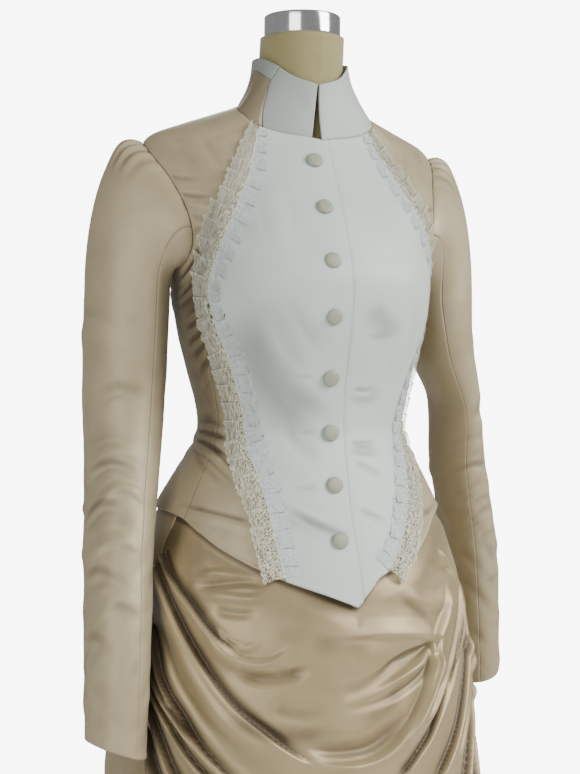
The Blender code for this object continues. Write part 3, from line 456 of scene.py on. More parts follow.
def armhole_reach(height):
    """Half the armhole's turn at a height, or 0 outside it."""
    share = np.clip((height - ARMHOLE_MIDDLE) / ARMHOLE_HALF_HEIGHT, -1.0, 1.0)
    return ARMHOLE_HALF_TURN * np.sqrt(1 - share * share)


# A soft fold: its path as (turn, height) points, how far it stands out (a crease when negative),
# how wide it is to the left and to the right of its path, and how much of each end fades out
Fold = namedtuple("Fold", "path full left right start end")


def smooth_path(points, count):
    """A smooth line through the points."""
    points = np.array(points, float)
    ends = (2 * points[:1] - points[1:2], points, 2 * points[-1:] - points[-2:-1])
    padded = np.vstack(ends)
    where = np.linspace(0, len(points) - 1, count)
    start = np.minimum(where.astype(int), len(points) - 2)
    part = (where - start)[:, None]
    before, first, last, after = (padded[start + step] for step in range(4))
    return 0.5 * (
        2 * first
        + (last - before) * part
        + (2 * before - 5 * first + 4 * last - after) * part ** 2
        + (3 * first - before - 3 * last + after) * part ** 3
    )


def path_distance(across, height, path, girth, reach):
    """Cloth near a path: its signed distance (above the line below 0) and its share along it."""
    line = smooth_path(path, 8 * len(path))
    line[:, 0] = np.radians(line[:, 0]) * girth
    near = (
        (across > line[:, 0].min() - reach)
        & (across < line[:, 0].max() + reach)
        & (height > line[:, 1].min() - reach)
        & (height < line[:, 1].max() + reach)
    )
    start = line[:-1]
    run = np.diff(line, axis=0)
    square = np.maximum((run ** 2).sum(1), 1e-12)
    off_across = across[near][:, None] - start[:, 0]
    off_height = height[near][:, None] - start[:, 1]
    along = np.clip((off_across * run[:, 0] + off_height * run[:, 1]) / square, 0, 1)
    off_across = off_across - along * run[:, 0]
    off_height = off_height - along * run[:, 1]
    distance = np.hypot(off_across, off_height)
    nearest = distance.argmin(1)
    pick = np.arange(len(nearest)), nearest
    above = (run[:, 0] * off_height - run[:, 1] * off_across)[pick] > 0
    share = (nearest + along[pick]) / len(run)
    return near, np.where(above, -distance[pick], distance[pick]), share


def fold_relief(turn, height, folds, girth):
    """How far the cloth stands out for a set of soft folds. girth turns degrees into metres."""
    turn, height = np.broadcast_arrays(turn, height)
    across = np.radians(turn) * girth
    relief = np.zeros(across.shape)
    for fold in folds:
        reach = max(fold.left, fold.right)
        near, distance, share = path_distance(across, height, fold.path, girth, reach)
        width = np.where(distance < 0, fold.left, fold.right)
        taper = smooth(share / fold.start) * smooth((1 - share) / fold.end)
        profile = (1 - np.clip(np.abs(distance) / width, 0, 1) ** 2) ** 2
        relief[near] += fold.full * taper * profile
    return relief


# A lapped pleat: the cloth below its line lies over the cloth above it, with a crisp edge
Lap = namedtuple("Lap", "path full wide start end")
LAP_EDGE = 0.0037
LAP_GROOVE = 0.0032
# LAP_SHADE, LAP_SHADE_REACH and LAP_SOFT_SHADE size the painted shade along each lap
LAP_SHADE = 0.0023
LAP_LEAD = 0.0006
LAP_GROOVE_REACH = 0.014
LAP_SHADE_REACH = 0.016
LAP_SOFT_SHADE = 0.40


def lap_relief(turn, height, laps, girth):
    """Relief of a set of lapped pleats, and how deep in painted shade the cloth lies along them."""
    turn, height = np.broadcast_arrays(turn, height)
    across = np.radians(turn) * girth
    relief = np.zeros(across.shape)
    shade = np.zeros(across.shape)
    for lap in laps:
        near, distance, share = path_distance(across, height, lap.path, girth, max(lap.wide, 0.02))
        taper = smooth(share / lap.start) * smooth((1 - share) / lap.end)
        rise = smooth((distance + LAP_LEAD) / LAP_EDGE)
        fall = 1 - np.clip((distance - LAP_EDGE) / (lap.wide - LAP_EDGE), 0, 1)
        over = lap.full * rise * fall ** 1.6 * (3 - fall) / 2
        under = -LAP_GROOVE * (1 - smooth(-distance / LAP_GROOVE_REACH))
        relief[near] += taper * np.where(distance > -LAP_LEAD, over, under)
        # Painted shade: a dark line just above each lap's edge and a softer shade over the cloth
        # above it
        line = np.exp(-((distance + 0.0008) / LAP_SHADE) ** 2)
        near_shade = LAP_SOFT_SHADE * (1 - smooth(-distance / LAP_SHADE_REACH))
        soft = np.where(distance < 0, near_shade, 0.0)
        shade[near] = np.maximum(shade[near], taper * np.maximum(line, soft))
    return relief, shade


def hollow_shade(relief, depth, passes):
    """How far the cloth lies below the cloth round it, from 0 to 1: the strength of painted shade.
    """
    level = relief.copy()
    for _ in range(passes):
        padded = np.pad(level, 2, mode="edge")
        rows, columns = level.shape
        level = sum(padded[2:2 + rows, step:step + columns] for step in range(5)) / 5
        padded = np.pad(level, 2, mode="edge")
        level = sum(padded[step:step + rows, 2:2 + columns] for step in range(5)) / 5
    return np.clip((level - relief) / depth, 0.0, 1.0)


def link(thing):
    bpy.context.scene.collection.objects.link(thing)
    return thing


def sheet_object(name, points, wall, material, shade=None):
    """A cloth sheet from rows of points, its edges turned in, with a map in metres."""
    rows, columns = points.shape[:2]
    index = np.arange(rows * columns).reshape(rows, columns)
    corners = (index[:-1, :-1], index[:-1, 1:], index[1:, 1:], index[1:, :-1])
    quads = np.stack(corners, -1).reshape(-1, 4)
    mesh = bpy.data.meshes.new(name)
    mesh.from_pydata(points.reshape(-1, 3).tolist(), [], quads.tolist())
    steps_across = np.linalg.norm(np.diff(points, axis=1), axis=2)
    steps_along = np.linalg.norm(np.diff(points, axis=0), axis=2)
    across = np.pad(np.cumsum(steps_across, 1), ((0, 0), (1, 0)))
    across -= across[:, columns // 2][:, None]
    along = np.pad(np.cumsum(steps_along, 0), ((1, 0), (0, 0)))
    places = np.stack((across, along), -1).reshape(-1, 2)[quads.reshape(-1)]
    layer = mesh.uv_layers.new(name="cloth")
    layer.data.foreach_set("uv", places.ravel())
    # Painted shade for the satin pieces; on the lace this attribute holds the cord mask
    depth = mesh.attributes.new("shade", "FLOAT", "POINT")
    depth.data.foreach_set("value", np.zeros(rows * columns) if shade is None else shade.ravel())
    mesh.polygons.foreach_set("use_smooth", np.ones(len(quads), bool))
    mesh.update()
    thing = link(bpy.data.objects.new(name, mesh))
    mesh.materials.append(material)
    if wall:
        edge = thing.modifiers.new("turned_edge", "SOLIDIFY")
        edge.thickness = wall
        edge.offset = -1.0
        edge.use_rim_only = True
    return thing


def panel_grid(low, high, rows, columns, left_edge, right_edge, foot=None, head=None,
               head_fade=0.085):
    """Heights and turns of a panel between two seams, with its rows bent to its foot and head."""
    nominal = np.linspace(low, high, rows)[:, None] * np.ones((1, columns))
    share = np.linspace(0.0, 1.0, columns)[None, :] * np.ones((rows, 1))
    height = nominal.copy()
    for _ in range(6):
        turn = left_edge(height) * (1 - share) + right_edge(height) * share
        height = nominal.copy()
        if foot:
            height += (foot(turn) - low) * smooth(1 - (nominal - low) / (WAIST - low))
        if head:
            height += (head(turn) - high) * smooth(1 - (high - nominal) / head_fade)
    return height, turn


def from_seam(turn, wide):
    """Metres from the nearer side edge, for each column of a panel that is about this wide."""
    columns = turn.shape[1]
    return np.minimum(np.arange(columns), np.arange(columns)[::-1]) * wide / (columns - 1)


def seam_dip(turn, wide):
    """The cloth turns in a little at the first and last column, where a panel meets its seam."""
    edge = 1 - smooth(from_seam(turn, wide) / SEAM_ROLL)
    return -SEAM_TURNED_IN * edge[None, :] * np.ones((len(turn), 1))


def seam_shade(turn, wide):
    """Painted shade in the first and last columns of a panel, along its seams."""
    edge = 1 - smooth(from_seam(turn, wide) / SEAM_SHADE_WIDTH)
    return edge[None, :] * np.ones((len(turn), 1))


# Materials


def socket(group, name, kind, way, value=None):
    """A named socket on a node group."""
    made = group.interface.new_socket(name=name, in_out=way, socket_type="NodeSocket" + kind)
    if value is not None:
        made.default_value = value
    return made


class Nodes:
    """Short calls for placing and joining nodes."""

    def __init__(self, tree):
        self.tree = tree

    def add(self, kind, **values):
        prefix = "Node" if kind in ("GroupInput", "GroupOutput") else "ShaderNode"
        node = self.tree.nodes.new(prefix + kind)
        for name, value in values.items():
            setattr(node, name, value)
        return node

    def join(self, source, target):
        self.tree.links.new(source, target)

    def value(self, operation, first, second=0.0, third=0.0):
        """A Math node. Each operand is a number or a socket."""
        node = self.add("Math", operation=operation)
        for slot, operand in enumerate((first, second, third)):
            if isinstance(operand, (int, float)):
                node.inputs[slot].default_value = operand
            else:
                self.join(operand, node.inputs[slot])
        return node.outputs[0]

    def scaled(self, vector, scale):
        """A vector stretched by three numbers."""
        node = self.add("Mapping", vector_type="POINT")
        self.join(vector, node.inputs["Vector"])
        node.inputs["Scale"].default_value = scale
        return node.outputs[0]

    def noise(self, vector, scale, detail=3.0, rough=0.5):
        node = self.add("TexNoise")
        self.join(vector, node.inputs["Vector"])
        node.inputs["Scale"].default_value = scale
        node.inputs["Detail"].default_value = detail
        node.inputs["Roughness"].default_value = rough
        return node.outputs["Fac"]

    def ranged(self, value, low, high, to_low, to_high):
        """A value's range moved to another range."""
        node = self.add("MapRange", clamp=True)
        self.join(value, node.inputs["Value"])
        names = ("From Min", "From Max", "To Min", "To Max")
        for name, number in zip(names, (low, high, to_low, to_high)):
            node.inputs[name].default_value = number
        return node.outputs[0]

    def bump(self, shader, height, strength, distance):
        """Raise the shader's surface by a height, over a distance in metres."""
        lift = self.add("Bump")
        lift.inputs["Strength"].default_value = strength
        lift.inputs["Distance"].default_value = distance
        self.join(height, lift.inputs["Height"])
        self.join(lift.outputs["Normal"], shader.inputs["Normal"])

    def mixed(self, share, first, second):
        """A mix of two colours. Each is a colour or a socket."""
        node = self.add("Mix", data_type="RGBA")
        self.join(share, node.inputs["Factor"])
        for slot, colour in ((6, first), (7, second)):
            if isinstance(colour, tuple):
                node.inputs[slot].default_value = colour
            else:
                self.join(colour, node.inputs[slot])
        return node.outputs[2]


def satin_group():
    """Satin: long fine floats, slubs along the weft, a slow drift of colour and painted shade."""
    group = bpy.data.node_groups.new("satin_weave", "ShaderNodeTree")
    socket(group, "Place", "Vector", "INPUT")
    socket(group, "Colour", "Color", "INPUT")
    socket(group, "Deep Colour", "Color", "INPUT")
    socket(group, "Gloss", "Float", "INPUT", 0.36)
    socket(group, "Shade", "Float", "INPUT", 0.0)
    socket(group, "Shade Colour", "Color", "INPUT")
    socket(group, "Colour", "Color", "OUTPUT")
    socket(group, "Roughness", "Float", "OUTPUT")
    socket(group, "Height", "Float", "OUTPUT")
    nodes = Nodes(group)
    given = nodes.add("GroupInput")
    result = nodes.add("GroupOutput")
    place = given.outputs["Place"]
    floats = nodes.noise(nodes.scaled(place, (2600.0, 420.0, 1.0)), 1.0, 2.0)
    slubs = nodes.noise(nodes.scaled(place, (55.0, 900.0, 1.0)), 1.0, 2.0, 0.6)
    drift = nodes.noise(place, 14.0, 3.0, 0.55)
    cloud = nodes.noise(place, 60.0, 2.0, 0.5)
    share = nodes.value("MULTIPLY_ADD", slubs, 0.30, nodes.ranged(drift, 0.32, 0.68, 0.0, 0.55))
    woven = nodes.mixed(share, given.outputs["Colour"], given.outputs["Deep Colour"])
    # Painted shade: the woven colour is mixed towards the shade colour by the Shade input
    nodes.join(nodes.mixed(given.outputs["Shade"], woven, given.outputs["Shade Colour"]),
               result.inputs["Colour"])
    gloss = nodes.value("MULTIPLY_ADD", cloud, 0.10, given.outputs["Gloss"])
    gloss = nodes.value("MULTIPLY_ADD", floats, 0.06, gloss)
    nodes.join(nodes.value("SUBTRACT", gloss, 0.08), result.inputs["Roughness"])
    threads = nodes.value("MULTIPLY_ADD", slubs, 0.55, nodes.value("MULTIPLY", floats, 0.45))
    nodes.join(threads, result.inputs["Height"])


def new_material(name):
    material = bpy.data.materials.new(name)
    material.use_nodes = True
    nodes = Nodes(material.node_tree)
    return material, nodes, material.node_tree.nodes["Principled BSDF"]


def satin_material(name, colour, deep, painted_shade_colour, gloss, metallic, bump=0.10):
    """Glossy woven cloth, read from the piece's own map, with painted shade from its attribute."""
    material, nodes, shader = new_material(name)
    where = nodes.add("UVMap", uv_map="cloth")
    weave = nodes.add("Group", node_tree=bpy.data.node_groups["satin_weave"])
    nodes.join(where.outputs[0], weave.inputs["Place"])
    weave.inputs["Colour"].default_value = colour
    weave.inputs["Deep Colour"].default_value = deep
    weave.inputs["Gloss"].default_value = gloss
    weave.inputs["Shade Colour"].default_value = painted_shade_colour
    # Painted shade: the piece's shade attribute darkens the satin towards its shade colour
    nodes.join(nodes.add("Attribute", attribute_name="shade").outputs["Fac"], weave.inputs["Shade"])
    nodes.bump(shader, weave.outputs["Height"], bump, 0.0003)
    nodes.join(weave.outputs["Colour"], shader.inputs["Base Color"])
    nodes.join(weave.outputs["Roughness"], shader.inputs["Roughness"])
    shader.inputs["Metallic"].default_value = metallic
    shader.inputs["Specular IOR Level"].default_value = 0.50
    shader.inputs["Anisotropic"].default_value = 0.35
    shader.inputs["Sheen Weight"].default_value = 0.14
    shader.inputs["Sheen Roughness"].default_value = 0.4
    shader.inputs["Sheen Tint"].default_value = (0.95, 0.93, 0.86, 1.0)
    return material


def lace_material(name, net, cord, holes, solid_share):
    """Net lace with thick flower outlines, filled petals and a corded edge."""
    material, nodes, shader = new_material(name)
    where = nodes.add("UVMap", uv_map="cloth").outputs[0]
    mesh = nodes.add("TexVoronoi", feature="DISTANCE_TO_EDGE")
    nodes.join(where, mesh.inputs["Vector"])
    mesh.inputs["Scale"].default_value = 620.0
    threads = nodes.ranged(mesh.outputs["Distance"], 0.06, 0.18, holes, 0.10)
    bend = nodes.add("TexNoise", noise_dimensions="2D")
    nodes.join(where, bend.inputs["Vector"])
    bend.inputs["Scale"].default_value = 240.0
    shifted = nodes.add("Mix", data_type="VECTOR")
    shifted.inputs["Factor"].default_value = 0.0030
    nodes.join(where, shifted.inputs[4])
    nodes.join(bend.outputs["Color"], shifted.inputs[5])
    outline = nodes.add("TexVoronoi", feature="DISTANCE_TO_EDGE")
    nodes.join(shifted.outputs[1], outline.inputs["Vector"])
    outline.inputs["Scale"].default_value = 290.0
    cords = nodes.ranged(outline.outputs["Distance"], 0.10, 0.17, 1.0, 0.0)
    flower = nodes.add("TexVoronoi", feature="F1")
    nodes.join(shifted.outputs[1], flower.inputs["Vector"])
    flower.inputs["Scale"].default_value = 290.0
    chosen = nodes.ranged(flower.outputs["Color"], 0.50, 0.54, 0.0, 1.0)
    petals = nodes.ranged(flower.outputs["Distance"], 0.30, 0.38, 1.0, 0.0)
    filled = nodes.value("MULTIPLY", chosen, petals)
    # The lace's shade attribute holds its cord: the corded edges and, partly as a painted
    # highlight, the pleats' folds
    edge = nodes.add("Attribute", attribute_name="shade").outputs["Fac"]
    pattern = nodes.value("MULTIPLY", nodes.value("MAXIMUM", cords, filled), solid_share)
    solid = nodes.value("MAXIMUM", pattern, edge)
    cover = nodes.value("MAXIMUM", threads, solid)
    nodes.join(cover, shader.inputs["Alpha"])
    nodes.join(nodes.mixed(solid, net, cord), shader.inputs["Base Color"])
    fuzz = nodes.noise(where, 900.0, 2.0, 0.6)
    nodes.join(nodes.ranged(fuzz, 0.3, 0.7, 0.62, 0.84), shader.inputs["Roughness"])
    nodes.bump(shader, nodes.value("MULTIPLY_ADD", fuzz, 0.3, cover), 0.8, 0.0008)
    shader.inputs["Sheen Weight"].default_value = 0.12
    return material


def jersey_material():
    """Knitted cover of the form: fine ribs and a faint mottle."""
    material, nodes, shader = new_material("form_jersey")
    where = nodes.add("TexCoord").outputs["Object"]
    ribs = nodes.noise(nodes.scaled(where, (1500.0, 1500.0, 350.0)), 1.0, 2.0)
    mottle = nodes.noise(where, 45.0, 3.0, 0.6)
    tone = nodes.value("MULTIPLY_ADD", ribs, 0.5, nodes.value("MULTIPLY", mottle, 0.5))
    nodes.join(nodes.mixed(tone, (0.19, 0.160, 0.060, 1.0), (0.30, 0.262, 0.118, 1.0)),
               shader.inputs["Base Color"])
    nodes.join(nodes.ranged(ribs, 0.3, 0.7, 0.78, 0.92), shader.inputs["Roughness"])
    nodes.bump(shader, ribs, 0.35, 0.0004)
    shader.inputs["Sheen Weight"].default_value = 0.3
    return material


def metal_material(name, colour, metallic, roughness, scratch):
    """Metal or paint with fine rubbing marks."""
    material, nodes, shader = new_material(name)
    where = nodes.add("TexCoord").outputs["Object"]
    marks = nodes.noise(nodes.scaled(where, scratch), 1.0, 3.0, 0.6)
    smudge = nodes.noise(where, 60.0, 3.0, 0.5)
    rub = nodes.value("MULTIPLY_ADD", marks, 0.10, nodes.value("MULTIPLY", smudge, 0.10))
    nodes.join(nodes.value("ADD", rub, roughness - 0.08), shader.inputs["Roughness"])
    darker = tuple(0.82 * part for part in colour[:3]) + (1.0,)
    nodes.join(nodes.mixed(smudge, darker, colour), shader.inputs["Base Color"])
    nodes.bump(shader, marks, 0.05, 0.0002)
    shader.inputs["Metallic"].default_value = metallic
    return material


satin_group()
# Each satin: colour, deep colour of slubs and drift, painted shade colour, gloss, metallic and bump
CHAMPAGNE = satin_material(
    "champagne_satin",
    (0.362, 0.302, 0.186, 1), (0.295, 0.240, 0.138, 1), (0.042, 0.028, 0.013, 1), 0.52, 0.20
)
# The bodice's satin again, more saturated and more metallic on the skirt: a lit copy that paints
# the warm light its folds throw on each other
SKIRT_SATIN_PAINTED_LIGHT = satin_material(
    "skirt_satin_painted_light",
    (0.365, 0.286, 0.155, 1), (0.285, 0.216, 0.106, 1), (0.036, 0.022, 0.009, 1), 0.46, 0.36
)
WHITE = satin_material(
    "white_satin",
    (0.49, 0.545, 0.497, 1), (0.42, 0.475, 0.425, 1), (0.13, 0.14, 0.125, 1), 0.50, 0.0
)
BUTTON_CLOTH = satin_material(
    "button_satin",
    (0.30, 0.297, 0.222, 1), (0.245, 0.242, 0.178, 1), (0.06, 0.05, 0.04, 1), 0.55, 0.0, 0.25
)
NET_LACE = lace_material("net_lace", (0.28, 0.265, 0.18, 1.0), (0.52, 0.508, 0.385, 1.0), 0.55, 1.0)
NET_BAND = lace_material("net_band", (0.58, 0.64, 0.61, 1.0), (0.64, 0.70, 0.67, 1.0), 0.70, 0.75)
JERSEY = jersey_material()
CHROME = metal_material("chrome", (0.70, 0.70, 0.70, 1), 1.0, 0.10, (30.0, 30.0, 900.0))
STEEL = metal_material("brushed_steel", (0.50, 0.50, 0.51, 1), 1.0, 0.30, (60.0, 60.0, 1500.0))
BASE_PAINT = metal_material("base_paint", (0.05, 0.05, 0.055, 1), 0.0, 0.38, (200.0, 200.0, 200.0))

# What each sheet was cut to: width and length, and how much of that rectangle the cut fills
Cut = namedtuple("Cut", "width length fills held rests_on", defaults=(("form_body",),))


def dress(thing, node, cut=None):
    """Set a finished piece in its node's place."""
    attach(thing, "root")
    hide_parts(node)
    if cut:
        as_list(cut.rests_on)
    return thing


# Bodice

# Drag lines and wrinkles of the satin bodice on the garment's right side
RIGHT_BODICE_FOLDS = (
    Fold(((-98, 1.050), (-80, 1.049), (-60, 1.044)), 0.0020, 0.006, 0.007, 0.3, 0.4),
    Fold(((-100, 1.041), (-78, 1.036), (-54, 1.025)), 0.0022, 0.005, 0.007, 0.3, 0.4),
    Fold(((-98, 1.032), (-74, 1.020), (-46, 0.996)), 0.0026, 0.005, 0.008, 0.3, 0.4),
    Fold(((-82, 1.030), (-60, 1.008), (-42, 0.986)), 0.0020, 0.005, 0.007, 0.3, 0.4),
    Fold(((-96, 1.046), (-78, 1.043), (-58, 1.036)), -0.0016, 0.004, 0.004, 0.3, 0.4),
    Fold(((-94, 1.036), (-74, 1.028), (-52, 1.012)), -0.0018, 0.004, 0.004, 0.3, 0.4),
    Fold(((-92, 1.018), (-70, 1.002), (-52, 0.984)), -0.0014, 0.006, 0.006, 0.3, 0.4),
    Fold(((-56, 1.272), (-70, 1.251), (-88, 1.226)), 0.0042, 0.0055, 0.008, 0.25, 0.25),
    Fold(((-56, 1.262), (-70, 1.240), (-88, 1.216)), -0.0022, 0.004, 0.004, 0.25, 0.25),
    Fold(((-58, 1.251), (-72, 1.231), (-90, 1.208)), 0.0040, 0.0050, 0.007, 0.25, 0.25),
    Fold(((-60, 1.240), (-74, 1.221), (-90, 1.199)), -0.0022, 0.004, 0.004, 0.25, 0.25),
    Fold(((-72, 1.221), (-80, 1.213), (-92, 1.199)), 0.0034, 0.0045, 0.005, 0.3, 0.3),
    Fold(((-70, 1.209), (-80, 1.203), (-92, 1.190)), 0.0030, 0.0045, 0.005, 0.3, 0.3),
    Fold(((-50, 1.206), (-66, 1.187), (-88, 1.168)), 0.0032, 0.0050, 0.006, 0.3, 0.3),
    Fold(((-52, 1.199), (-66, 1.179), (-88, 1.160)), -0.0018, 0.004, 0.004, 0.3, 0.3),
    Fold(((-52, 1.192), (-68, 1.172), (-90, 1.151)), 0.0034, 0.0050, 0.006, 0.3, 0.3),
    Fold(((-54, 1.184), (-68, 1.164), (-90, 1.142)), -0.0016, 0.004, 0.004, 0.3, 0.3),
    Fold(((-56, 1.175), (-70, 1.155), (-90, 1.133)), 0.0026, 0.0050, 0.007, 0.3, 0.3),
    Fold(((-58, 1.152), (-72, 1.136), (-88, 1.114)), 0.0018, 0.006, 0.007, 0.4, 0.4),
    Fold(((-66, 1.120), (-76, 1.108), (-86, 1.092)), 0.0010, 0.007, 0.008, 0.4, 0.4),
    Fold(((-70, 1.322), (-58, 1.312), (-44, 1.309)), -0.0012, 0.005, 0.006, 0.4, 0.4),
    Fold(((-68, 1.311), (-57, 1.301), (-45, 1.298)), 0.0012, 0.006, 0.006, 0.4, 0.4),
    Fold(((-72, 1.340), (-60, 1.332), (-50, 1.330)), -0.0010, 0.006, 0.007, 0.4, 0.4),
    Fold(((-66, 1.290), (-56, 1.284), (-46, 1.284)), -0.0009, 0.007, 0.007, 0.4, 0.4),
    Fold(((-80, 0.964), (-54, 0.956), (-34, 0.946)), -0.0014, 0.006, 0.004, 0.3, 0.3),
    Fold(((-80, 0.958), (-54, 0.949), (-34, 0.938)), 0.0010, 0.004, 0.010, 0.3, 0.3),
    Fold(((-60, 1.385), (-50, 1.360), (-44, 1.330)), 0.0012, 0.012, 0.012, 0.4, 0.4),
    Fold(((-128, 1.046), (-112, 1.040), (-96, 1.030)), 0.0018, 0.006, 0.007, 0.4, 0.4),
    Fold(((-132, 1.032), (-114, 1.022), (-98, 1.008)), 0.0016, 0.006, 0.008, 0.4, 0.4),
    Fold(((-124, 1.215), (-114, 1.200), (-104, 1.176)), 0.0018, 0.007, 0.007, 0.4, 0.4),
    Fold(((-130, 1.240), (-120, 1.214), (-112, 1.180)), 0.0014, 0.008, 0.008, 0.4, 0.4),
)
# The same kind of wrinkles on the left side, where they fall a little otherwise
LEFT_BODICE_FOLDS = (
    Fold(((56, 1.046), (76, 1.051), (98, 1.050)), 0.0018, 0.007, 0.006, 0.4, 0.3),
    Fold(((50, 1.026), (76, 1.037), (100, 1.042)), 0.0022, 0.007, 0.005, 0.4, 0.3),
    Fold(((44, 1.000), (70, 1.018), (96, 1.030)), 0.0022, 0.008, 0.005, 0.4, 0.3),
    Fold(((46, 1.012), (70, 1.028), (94, 1.037)), -0.0016, 0.004, 0.004, 0.4, 0.3),
    Fold(((88, 1.224), (72, 1.250), (58, 1.270)), 0.0034, 0.006, 0.007, 0.25, 0.25),
    Fold(((90, 1.206), (74, 1.230), (60, 1.246)), 0.0032, 0.006, 0.006, 0.25, 0.25),
    Fold(((92, 1.214), (74, 1.239), (60, 1.257)), -0.0018, 0.004, 0.004, 0.25, 0.25),
    Fold(((88, 1.134), (76, 1.150), (64, 1.158)), 0.0015, 0.006, 0.006, 0.4, 0.4),
    Fold(((44, 1.304), (56, 1.306), (70, 1.318)), -0.0012, 0.006, 0.006, 0.4, 0.4),
    Fold(((46, 1.290), (58, 1.293), (70, 1.304)), 0.0010, 0.007, 0.006, 0.4, 0.4),
    Fold(((34, 0.946), (50, 0.952), (72, 0.962)), -0.0012, 0.006, 0.005, 0.3, 0.3),
    Fold(((44, 1.330), (50, 1.360), (58, 1.384)), 0.0012, 0.012, 0.012, 0.4, 0.4),
    Fold(((98, 1.034), (114, 1.042), (130, 1.048)), 0.0018, 0.006, 0.007, 0.4, 0.4),
    Fold(((96, 1.012), (116, 1.024), (134, 1.030)), 0.0016, 0.006, 0.008, 0.4, 0.4),
    Fold(((104, 1.180), (116, 1.204), (126, 1.218)), 0.0016, 0.007, 0.007, 0.4, 0.4),
)
# Slow sweeps of the white plastron and the puckers beside its buttons
PLASTRON_FOLDS = (
    Fold(((-46, 1.180), (-30, 1.118), (-14, 1.078), (2, 1.052)), -0.0015, 0.016, 0.022, 0.4, 0.3),
    Fold(((-34, 1.200), (-22, 1.150), (-8, 1.110)), 0.0012, 0.016, 0.018, 0.4, 0.4),
    Fold(((-30, 1.060), (-20, 1.030), (-8, 1.012)), -0.0010, 0.012, 0.014, 0.4, 0.4),
    Fold(((-24, 0.966), (-14, 0.946), (-6, 0.934), (0, 0.930)), -0.0014, 0.006, 0.008, 0.3, 0.4),
    Fold(((-26, 0.972), (-15, 0.953), (-5, 0.941)), 0.0010, 0.006, 0.006, 0.3, 0.4),
    Fold(((4, 1.094), (12, 1.092), (20, 1.096)), -0.0012, 0.004, 0.005, 0.3, 0.5),
    Fold(((4, 1.086), (13, 1.084), (22, 1.087)), 0.0010, 0.005, 0.006, 0.3, 0.5),
    Fold(((5, 1.034), (14, 1.031), (26, 1.036)), -0.0013, 0.004, 0.005, 0.3, 0.5),
    Fold(((5, 1.026), (15, 1.022), (24, 1.020)), 0.0010, 0.005, 0.006, 0.3, 0.5),
    Fold(((4, 1.012), (13, 1.002), (22, 0.988)), -0.0012, 0.005, 0.006, 0.3, 0.5),
    Fold(((3, 0.958), (10, 0.950), (18, 0.938)), -0.0012, 0.005, 0.006, 0.3, 0.5),
    Fold(((4, 1.150), (14, 1.152), (24, 1.160)), -0.0008, 0.006, 0.008, 0.3, 0.5),
    Fold(((-10, 1.046), (-16, 1.043), (-24, 1.046)), -0.0009, 0.004, 0.004, 0.3, 0.5),
    Fold(((-12, 1.108), (-18, 1.106), (-26, 1.112)), -0.0008, 0.005, 0.005, 0.3, 0.5),
    Fold(((-10, 0.986), (-16, 0.982), (-24, 0.984)), -0.0009, 0.004, 0.004, 0.3, 0.5),
    Fold(((20, 1.200), (30, 1.150), (34, 1.100)), 0.0012, 0.018, 0.018, 0.4, 0.4),
    Fold(((-26, 1.340), (-24, 1.290), (-26, 1.240)), 0.0010, 0.016, 0.016, 0.4, 0.4),
)
BODICE_GIRTH = 0.140
EDGE_FADE = 0.012
# Depth of the painted shadow that the sleeves cast on the bodice's sides
UNDER_ARM_SHADE = 0.58
# Painted shade where the plastron turns away from the light under the bust and beside the placket
PLASTRON_SHADOWS = (
    Fold(((-44, 1.200), (-40, 1.130), (-24, 1.080), (-2, 1.056)), 0.62, 0.030, 0.050, 0.3, 0.3),
    Fold(((-32, 1.200), (-18, 1.160), (-3, 1.150)), 0.20, 0.026, 0.036, 0.4, 0.4),
    Fold(((5, 1.190), (14, 1.170), (24, 1.150)), 0.42, 0.014, 0.026, 0.3, 0.4),
    Fold(((4, 1.090), (14, 1.086), (26, 1.090)), 0.34, 0.010, 0.016, 0.3, 0.4),
    Fold(((4, 1.030), (14, 1.024), (24, 1.030)), 0.34, 0.010, 0.014, 0.3, 0.4),
    Fold(((-40, 1.345), (-36, 1.290), (-38, 1.240)), 0.24, 0.014, 0.020, 0.4, 0.4),
    Fold(((-26, 0.960), (-14, 0.944), (0, 0.930)), 0.34, 0.012, 0.016, 0.3, 0.4),
)


def armhole_fade(height, turn):
    """0 on the armhole's edge and 1 a little way off, so that creases end before the sleeve."""
    away_turn = (np.abs(signed_turn(turn)) - SHOULDER_TURN) / ARMHOLE_HALF_TURN
    away_height = (height - ARMHOLE_MIDDLE) / ARMHOLE_HALF_HEIGHT
    return smooth((np.hypot(away_turn, away_height) - 1.0) / 0.08)


def edge_fades(height, turn):
    """How creases end at the basque's hem and at the neck seam: 0 on the edge, 1 a little off."""
    from_hem = height - basque_foot(turn)
    from_neck = height_by_turn(NECK_SEAM, turn) - height
    return smooth(from_hem / EDGE_FADE), smooth(from_neck / EDGE_FADE)


def bodice_relief(height, turn):
    """Creases of the satin bodice at heights and turns."""
    signed = signed_turn(turn)
    relief = fold_relief(signed, height, RIGHT_BODICE_FOLDS + LEFT_BODICE_FOLDS, BODICE_GIRTH)
    across = np.radians(signed) * BODICE_GIRTH
    uneven = 0.0005 * soft_noise(across / 0.030, height / 0.024, 3)
    uneven += 0.00015 * soft_noise(across / 0.012, height / 0.010, 4)
    hem_fade, neck_fade = edge_fades(height, turn)
    return (relief + uneven) * armhole_fade(height, turn) * hem_fade * neck_fade


def under_arm(height, turn):
    """Painted shadow: 1 on the bodice's side, which the sleeve keeps from the light, 0 elsewhere.
    """
    away = np.abs(signed_turn(turn))
    round_side = smooth((away - 58) / 20) * smooth((150 - away) / 30)
    return round_side * smooth((1.250 - height) / 0.05) * smooth((height - 0.985) / 0.06)


def hem_roll(height, turn):
    """The rolled lower edge of the basque."""
    return 0.0010 * bell(height - basque_foot(turn) - 0.0020, 0.0022)


